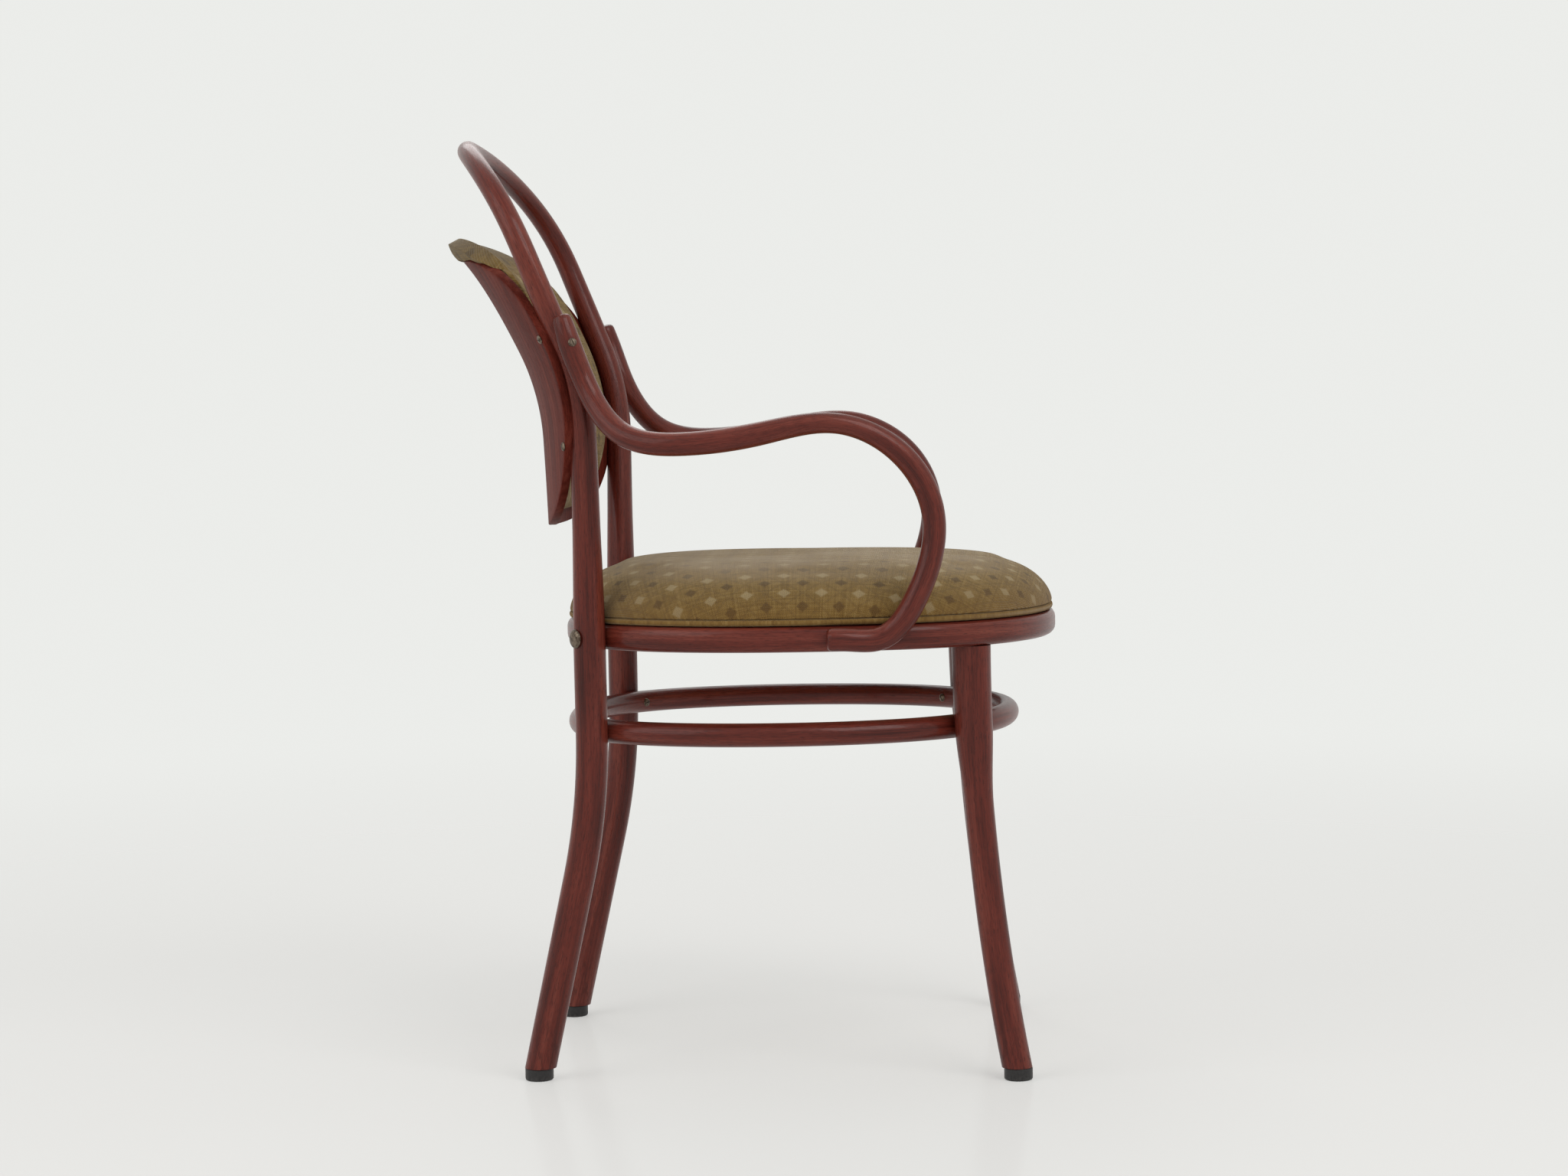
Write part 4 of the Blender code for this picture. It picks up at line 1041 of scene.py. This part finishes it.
def seat_cloth(point):
    """The cloth lies flat on the crown and is drawn straight down the sides."""
    plan = Vector((point.x, point.y - SEAT_Y))
    drop = max(CUSHION_BULGE + CUSHION_RISE - point.z, 0.0)
    drawn = plan.length + CLOTH_DRAW * drop * min(plan.length / FLAT_CROWN, 1.0)
    return plan.normalized() * drawn if plan.length > TOUCH else plan


keep_cloth(cushion, seat_cloth)
dress(cushion, CLOTH, "fabric", "seat_cushion")

# %% [markdown]
# ## The welt
# A piped welt hides the tacks at the foot of the cushion: a cord with a strip of the same cloth sewn round
# it. It is one more closed ring, bent from thin straight stock round the seat's outline. The strip is too
# narrow to show the lozenges, so it has the cloth's plain ground, cut on the bias.

# %% Welt
WELT_RADIUS = 0.0029
WELT_INSET = 0.005
WELT_RISE = 0.003
BIAS = 0.7
welt_path = [seat_point(bearing, WELT_INSET, SEAT_BASE + WELT_RISE) for bearing in seat_turns]
welt_length = path_length(welt_path, True)
welt = straight_dowel("piped_seat_welt", welt_length, WELT_RADIUS, (0, 0, 0), "NOTHING", cuts=15, sides=14)
keep_cloth(welt, lambda point: (BIAS * point.z + point.x, BIAS * point.z - point.x))
bend_round(welt, welt_path, closed=True)
dress(welt, PLAIN_CLOTH, "fabric", "seat_welt")

# %% [markdown]
# ## The back pad
# A thin pad is fixed to the front of the panel, and its top is rolled over the panel's upper edge. Its
# crowned front is a grid, Solidify gives it a back and a rim, and the points of the back are then laid on the
# panel. Those above the panel follow the section of the roll: out over the edge, a little down behind it and
# up round the stuffing. The back is tacked there and the front swells.

# %% Back pad
PAD_COLUMNS = 66
PAD_ROWS = 52
PAD_BOTTOM = PANEL_BOTTOM + 0.014
PAD_TOP = PANEL_TOP + 0.017
PAD_ROW = (PAD_TOP - PAD_BOTTOM) / PAD_ROWS
PAD_EDGE = 0.006
PAD_CROWN = 0.014
PAD_SWELL = 0.003
PAD_PRESSURE = 3.0
PAD_CLEARANCE = 0.006
PAD_GAP = 2 * FIT_GAP
SOFT_RIM = 0.0036


def panel_top_at(x):
    """Height of the panel's upper edge at a distance from its middle."""
    share = min(abs(x) / (SHOULDER_HALF_WIDTH + PANEL_OVERLAP), 1.0)
    return PANEL_MIDDLE + PANEL_HALF_HEIGHT * (1 - share**PANEL_SQUARENESS) ** (1 / PANEL_SQUARENESS)


pad = rounded_sheet("stuffed_back_pad", PAD_COLUMNS, PAD_ROWS)
count = len(pad.data.vertices)
for vertex in pad.data.vertices:
    share = roundness(vertex.co.x, vertex.co.y)
    height = (PAD_BOTTOM + PAD_TOP) / 2 + vertex.co.y * (PAD_TOP - PAD_BOTTOM) / 2
    x = vertex.co.x * (post_half_spread(height) - post_radius(height) - PAD_CLEARANCE)
    rise = PAD_EDGE + (PAD_CROWN - PAD_SWELL) * sqrt(max(0.0, 1 - share**4))
    vertex.co = (x, panel_front(x, height) - rise, height)
apply_modifier(pad, "depth", "SOLIDIFY", thickness=PAD_EDGE, offset=-1)

# %% The pad's roll
ROLL_AT = (0.0, 0.0057, 0.0113, 0.0170)
ROLL_BACK = (0.0, 0.0105, 0.0180, 0.0215)
ROLL_UP = (0.0, -0.0055, 0.0010, 0.0118)
ROLL_HALF_WIDTH = 0.151

for front, rear in zip(pad.data.vertices[:count], pad.data.vertices[count:]):
    x, _, height = front.co
    edge = panel_top_at(x)
    if height < edge - PAD_ROW / 2:
        rear.co = (x, panel_front(x, height) - PAD_GAP, height)
        continue
    above = height - edge if height > edge + PAD_ROW / 2 else 0.0
    taper = sqrt(max(1 - (x / ROLL_HALF_WIDTH) ** 2, 0.0))
    back = np.interp(above, ROLL_AT, ROLL_BACK) * taper
    rise = np.interp(above, ROLL_AT, ROLL_UP) * taper
    rear.co = (x, panel_front(x, edge) - PAD_GAP + back, edge + PAD_GAP + rise)
apply_modifier(pad, "soft_rim", "BEVEL", width=SOFT_RIM, segments=3, angle_limit=SHARP_ANGLE)
tacked = [y > panel_front(x, z) - TACK_MARGIN for x, y, z in points_of(pad).tolist()]
stuff(pad, tacked, PAD_PRESSURE, PAD_SWELL)
soften(pad)


def back_cloth(point):
    """The cloth follows the lean of the back, so its length runs along that bend."""
    angle, radius = BACK_LEAN
    straight = max(point.z - BACK_LEAN_START - radius * sin(angle), 0.0)
    return point.x, min(point.z, BACK_LEAN_START) + radius * lean_at(point.z) + straight / cos(angle)


keep_cloth(pad, back_cloth)
dress(pad, CLOTH, "fabric", "back_pad")

# %% [markdown]
# ## The seat board
# The plywood board under the cushion shows only from below. Its CAD node already has the right shape, so it
# stays, and just gets a finish: raw birch plywood with long pale grain, and the plies on its edge.

# %% Finish: raw plywood
PLY = 0.004


def raw_plywood(name):
    material, place = start_finish(name)
    bands = place.stretched(1, 0.05, 1).noise(90, 3.0, 0.6)
    fibres = place.stretched(1, 0.02, 1).noise(900, 2.0)
    glue = abs((place.along("Z") / PLY).math("FRACT") - 0.5).rise(0.40, 0.47)
    wood = bands * 0.7 + fibres * 0.3
    wood = wood.ramp((0.32, (0.270, 0.150, 0.070)), (0.68, (0.440, 0.290, 0.160)))
    wood = (glue * 0.5).blend(wood, (0.150, 0.075, 0.032))
    complete(material, wood, 0.62 + 0.2 * fibres, fibres, 0.0003, {"Specular IOR Level": 0.3})
    return material


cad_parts["seat_board"].material_slots[0].material = raw_plywood("raw_plywood")

# %% [markdown]
# ## Glides
# Each foot stands on a dark plastic glide that is nailed into the end grain. One is modelled: a disc with a
# rounded lower edge, a thin shadow line under the wood, and a recess for the nail's head underneath. Each
# foot then gets a copy.


# %% Finish: dark plastic
def dark_plastic(name):
    material, place = start_finish(name)
    dust = place.noise(420, 3.0, 0.6)
    scratched = (1 - place.along("Z").rise(0.0, 0.006)) * dust.rise(0.45, 0.6)
    colour = dust.ramp((0.3, (0.011, 0.010, 0.010)), (0.7, (0.022, 0.020, 0.019)))
    colour = (scratched * 0.5).blend(colour, (0.075, 0.070, 0.065))
    roughness = 0.42 + 0.25 * scratched + 0.1 * dust
    complete(material, colour, roughness, dust, 0.0002, {"Specular IOR Level": 0.4})
    return material


PLASTIC = dark_plastic("dark_plastic")

# %% Glides
GLIDE_RADIUS = 0.0128
GLIDE_HEIGHT = 0.011
GLIDE_ROUND = 0.0020
GLIDE_SHADOW_LINE = 0.0007
RECESS_INSET = 0.0065
RECESS_WALL = 0.0006
RECESS_DEPTH = 0.0022

deselect()
bpy.ops.mesh.primitive_cylinder_add(
    vertices=48, radius=GLIDE_RADIUS, depth=GLIDE_HEIGHT, location=(0, 0, GLIDE_HEIGHT / 2)
)
glide = added("turned_glide")
bpy.ops.object.transform_apply(location=True)
for end, width in ((0.0, GLIDE_ROUND), (GLIDE_HEIGHT, GLIDE_SHADOW_LINE)):
    pick_edges(glide, lambda one, other: abs(one.z - end) + abs(other.z - end) < TOUCH)
    bpy.ops.mesh.bevel(offset=width, segments=4)
    object_mode()
pick_faces(glide, lambda face: face.normal.z < -FACING and abs(face.center.z) < TOUCH)
bpy.ops.mesh.inset(thickness=RECESS_INSET)
bpy.ops.mesh.inset(thickness=RECESS_WALL, depth=-RECESS_DEPTH)
object_mode()


def copy_of(piece, name, matrix):
    """A copy with its own mesh, moved to its place in that mesh."""
    twin = piece.copy()
    twin.data = piece.data.copy()
    twin.name = name
    twin.data.transform(matrix)
    bpy.context.scene.collection.objects.link(twin)
    return twin


for corner in ("front_left", "front_right", "rear_left", "rear_right"):
    low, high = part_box(f"glide_{corner}")
    middle = (low + high) / 2
    twin = copy_of(glide, f"turned_glide_{corner}", Matrix.Translation((middle.x, middle.y, 0)))
    dress(twin, PLASTIC, "glide", f"glide_{corner}")
bpy.data.objects.remove(glide)

# %% [markdown]
# ## Screws, bolts, washers and nuts
# The rods are held by round-headed slotted screws, and the hoop by a bolt through the rim on each side. Their
# steel has browned with age, so they hardly show against the stain. Each kind is modelled once, standing on
# Z. The CAD fasteners say where each copy goes: a screw's axis is the longest direction of its node and a
# nut's axis the shortest, and the flat under the head is where the node is widest.


# %% Finish: browned steel
def browned_steel(name):
    material, place = start_finish(name)
    tarnish = place.noise(300, 3.0, 0.6)
    brushed = place.stretched(1, 1, 8).noise(900, 1.0)
    colour = tarnish.ramp((0.35, (0.060, 0.042, 0.030)), (0.62, (0.210, 0.165, 0.125)))
    complete(material, colour, 0.28 + 0.30 * tarnish, brushed, 0.00006, {"Metallic": 1.0})
    return material


STEEL = browned_steel("browned_steel")


# %% Where the CAD fasteners are
HEAD_SHARE = 0.97


def node_points(node):
    return np.array([vertex.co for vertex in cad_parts[node].data.vertices], float)


def axis_of(points, shortest=False):
    """The place of the flat under a fastener's head, the direction out of the head, and the length below."""
    middle = points.mean(axis=0)
    spread = points - middle
    directions = np.linalg.svd(np.unique(np.round(spread, 6), axis=0), full_matrices=False)[2]
    axis = directions[-1 if shortest else 0]
    run = spread @ axis
    radius = np.linalg.norm(spread - np.outer(run, axis), axis=1)
    head = run[radius > HEAD_SHARE * radius.max()].mean()
    if abs(run.max() - head) > abs(run.min() - head):
        axis, run, head = -axis, -run, -head
    return Vector(middle + axis * head), Vector(axis), float(head - run.min())


def standing(place, axis, turn=0.0):
    """The matrix that takes a fastener that stands on Z to its place, with its slot turned."""
    upright = axis.to_track_quat("Z", "Y").to_matrix().to_4x4()
    return Matrix.Translation(place) @ upright @ Matrix.Rotation(turn, 4, "Z")


# %% Slotted screw
SHANK_LENGTH = 0.012
SLOT_TURN = 0.7


def cut_out(piece, name, cutter):
    """Take a cutter's shape out of a piece, and throw the cutter away."""
    apply_modifier(piece, name, "BOOLEAN", operation="DIFFERENCE", object=cutter)
    bpy.data.objects.remove(cutter)


def model_screw(name, radius, height, shank, slot):
    """A round head with a slot, and its shank below Z = 0."""
    deselect()
    bpy.ops.mesh.primitive_uv_sphere_add(segments=32, ring_count=16, radius=radius)
    screw = added(name)
    edit_whole(screw)
    bpy.ops.transform.resize(value=(1, 1, height / radius))
    cut_level(0)
    pick_faces(screw, lambda face: face.normal.z < -FACING)
    bpy.ops.mesh.inset(thickness=radius - shank)
    bpy.ops.mesh.extrude_region_move(TRANSFORM_OT_translate={"value": (0, 0, -SHANK_LENGTH)})
    object_mode()
    if slot:
        bpy.ops.mesh.primitive_cube_add(size=1, location=(0, 0, height))
        cutter = bpy.context.object
        cutter.scale = (slot, 3 * radius, height)
        bpy.ops.object.transform_apply(location=True, scale=True)
        cut_out(screw, "slot", cutter)
    print(name, "has", len(screw.data.polygons), "faces")
    return screw


screw = model_screw("slotted_screw", radius=0.0040, height=0.0022, shank=0.0020, slot=0.0009)
bolt = model_screw("dome_head_bolt", radius=0.0085, height=0.0032, shank=0.0030, slot=0.0)
screw_nodes = sorted(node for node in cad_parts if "_screw_" in node)
for number, node in enumerate(screw_nodes):
    place, axis, _ = axis_of(node_points(node))
    twin = copy_of(screw, f"slotted_{node}", standing(place, axis, SLOT_TURN * number))
    dress(twin, STEEL, "steel", node)
bpy.data.objects.remove(screw)

# %% Bolts, washers and nuts
for name in SIDES:
    place, axis, length = axis_of(node_points(f"rear_bolt_{name}"))
    twin = copy_of(bolt, f"dome_bolt_{name}", Matrix.Identity(4))
    for vertex in twin.data.vertices:
        if vertex.co.z < -SHANK_LENGTH / 2:
            vertex.co.z = -length
    twin.data.transform(standing(place, axis))
    dress(twin, STEEL, "steel", f"rear_bolt_{name}")
bpy.data.objects.remove(bolt)


def model_ring(name, sides, radius, height, bore, chamfer):
    """A washer or a nut: a prism with its outer edges chamfered and a round hole."""
    deselect()
    bpy.ops.mesh.primitive_cylinder_add(vertices=sides, radius=radius, depth=height)
    ring = added(name)
    pick_edges(ring, level)
    bpy.ops.mesh.bevel(offset=chamfer, segments=2)
    object_mode()
    deselect()
    bpy.ops.mesh.primitive_cylinder_add(vertices=32, radius=bore, depth=4 * height)
    cut_out(ring, "hole", bpy.context.object)
    return ring


washer = model_ring("plain_washer", sides=48, radius=0.0085, height=0.0015, bore=0.0033, chamfer=0.0003)
nut = model_ring("hex_nut", sides=6, radius=0.0065, height=0.0050, bore=0.0033, chamfer=0.0006)
for name in SIDES:
    for model, node in ((washer, f"rear_washer_{name}"), (nut, f"rear_nut_{name}")):
        points = node_points(node)
        _, axis, _ = axis_of(points, shortest=True)
        middle = Vector((points.min(axis=0) + points.max(axis=0)) / 2)
        twin = copy_of(model, f"{model.name}_{name}", standing(middle, axis))
        dress(twin, STEEL, "steel", node)
bpy.data.objects.remove(washer)
bpy.data.objects.remove(nut)

# %% [markdown]
# ## Stage
# The photograph has a pale seamless ground, soft light from all round and faint reflections under the feet.
# The floor is a wide disc that is mostly matt with a little gloss, and it fades out into the world's own pale
# colour, so no horizon shows. Its underside is clear, so that the chair can be looked at from below. The
# world shows its colour to the camera and to glossy surfaces, and lights the chair at a plain level together
# with three large soft lamps.

# %% Stage
FLOOR_RADIUS = 6.0
FLOOR_MATT = (0.80, 0.785, 0.765, 1)
FLOOR_GLOSS = (0.9, 0.9, 0.9, 1)
FLOOR_GLOSS_ROUGHNESS = 0.16
FLOOR_GLOSS_SHARE = 0.09
FLOOR_SOLID = 0.55
FLOOR_FADE = (0.7, 3.0)

deselect()
bpy.ops.mesh.primitive_circle_add(vertices=96, radius=FLOOR_RADIUS, fill_type="NGON", location=(0, 0, 0))
floor = added("studio_floor")
floor_finish, spot = start_finish("pale_floor")
distance = spot.node("ShaderNodeVectorMath", {"operation": "LENGTH"}, {0: spot}, "Value")
matt = spot.node("ShaderNodeBsdfDiffuse", {}, {"Color": FLOOR_MATT})
gloss_values = {"Color": FLOOR_GLOSS, "Roughness": FLOOR_GLOSS_ROUGHNESS}
gloss = spot.node("ShaderNodeBsdfAnisotropic", {}, gloss_values)
ground = spot.node("ShaderNodeMixShader", {}, {0: FLOOR_GLOSS_SHARE, 1: matt, 2: gloss})
clear = spot.node("ShaderNodeBsdfTransparent")
under = spot.node("ShaderNodeNewGeometry", output="Backfacing")
solid = (1 - under) * (FLOOR_SOLID - FLOOR_SOLID * distance.rise(*FLOOR_FADE))
fading = spot.node("ShaderNodeMixShader", {}, {0: solid, 1: clear, 2: ground})
floor_nodes = floor_finish.node_tree
floor_nodes.links.new(fading.socket, floor_nodes.nodes["Material Output"].inputs["Surface"])
floor.data.materials.append(floor_finish)
floor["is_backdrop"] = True

# %% World and lamps
BACKGROUND = (0.835, 0.843, 0.820, 1)
WORLD_LIGHT = 0.62
LAMP_AIM = Vector((0, 0, 0.4))

world = bpy.data.worlds.new("studio_world")
bpy.context.scene.world = world
world.use_nodes = True
sky = world.node_tree
rays = sky.nodes.new("ShaderNodeLightPath").outputs
shown = Wire(rays["Is Camera Ray"]) + Wire(rays["Is Glossy Ray"]) + Wire(rays["Is Transmission Ray"])
lighting = shown.node("ShaderNodeBackground", {}, {"Color": (1, 1, 1, 1), "Strength": WORLD_LIGHT})
backdrop = shown.node("ShaderNodeBackground", {}, {"Color": BACKGROUND, "Strength": 1.0})
mixed = shown.node("ShaderNodeMixShader", {}, {0: shown, 1: lighting, 2: backdrop})
sky.links.new(mixed.socket, sky.nodes["World Output"].inputs["Surface"])

for name, place, size, power in (
    ("key_lamp", (-1.9, -1.5, 2.6), 1.8, 34),
    ("fill_lamp", (-1.6, 2.2, 1.9), 2.2, 20),
    ("back_lamp", (2.2, 0.4, 2.4), 1.6, 16),
):
    bpy.ops.object.light_add(type="AREA", location=place)
    lamp = added(name)
    lamp.data.energy = power
    lamp.data.size = size
    lamp.rotation_euler = (LAMP_AIM - Vector(place)).to_track_quat("-Z", "Y").to_euler()
    print(name, "gives", power, "W")
bpy.context.scene.view_settings.view_transform = "Standard"

# %% Sizes
low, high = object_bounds()
print("visual box from", tuple(low), "to", tuple(high))
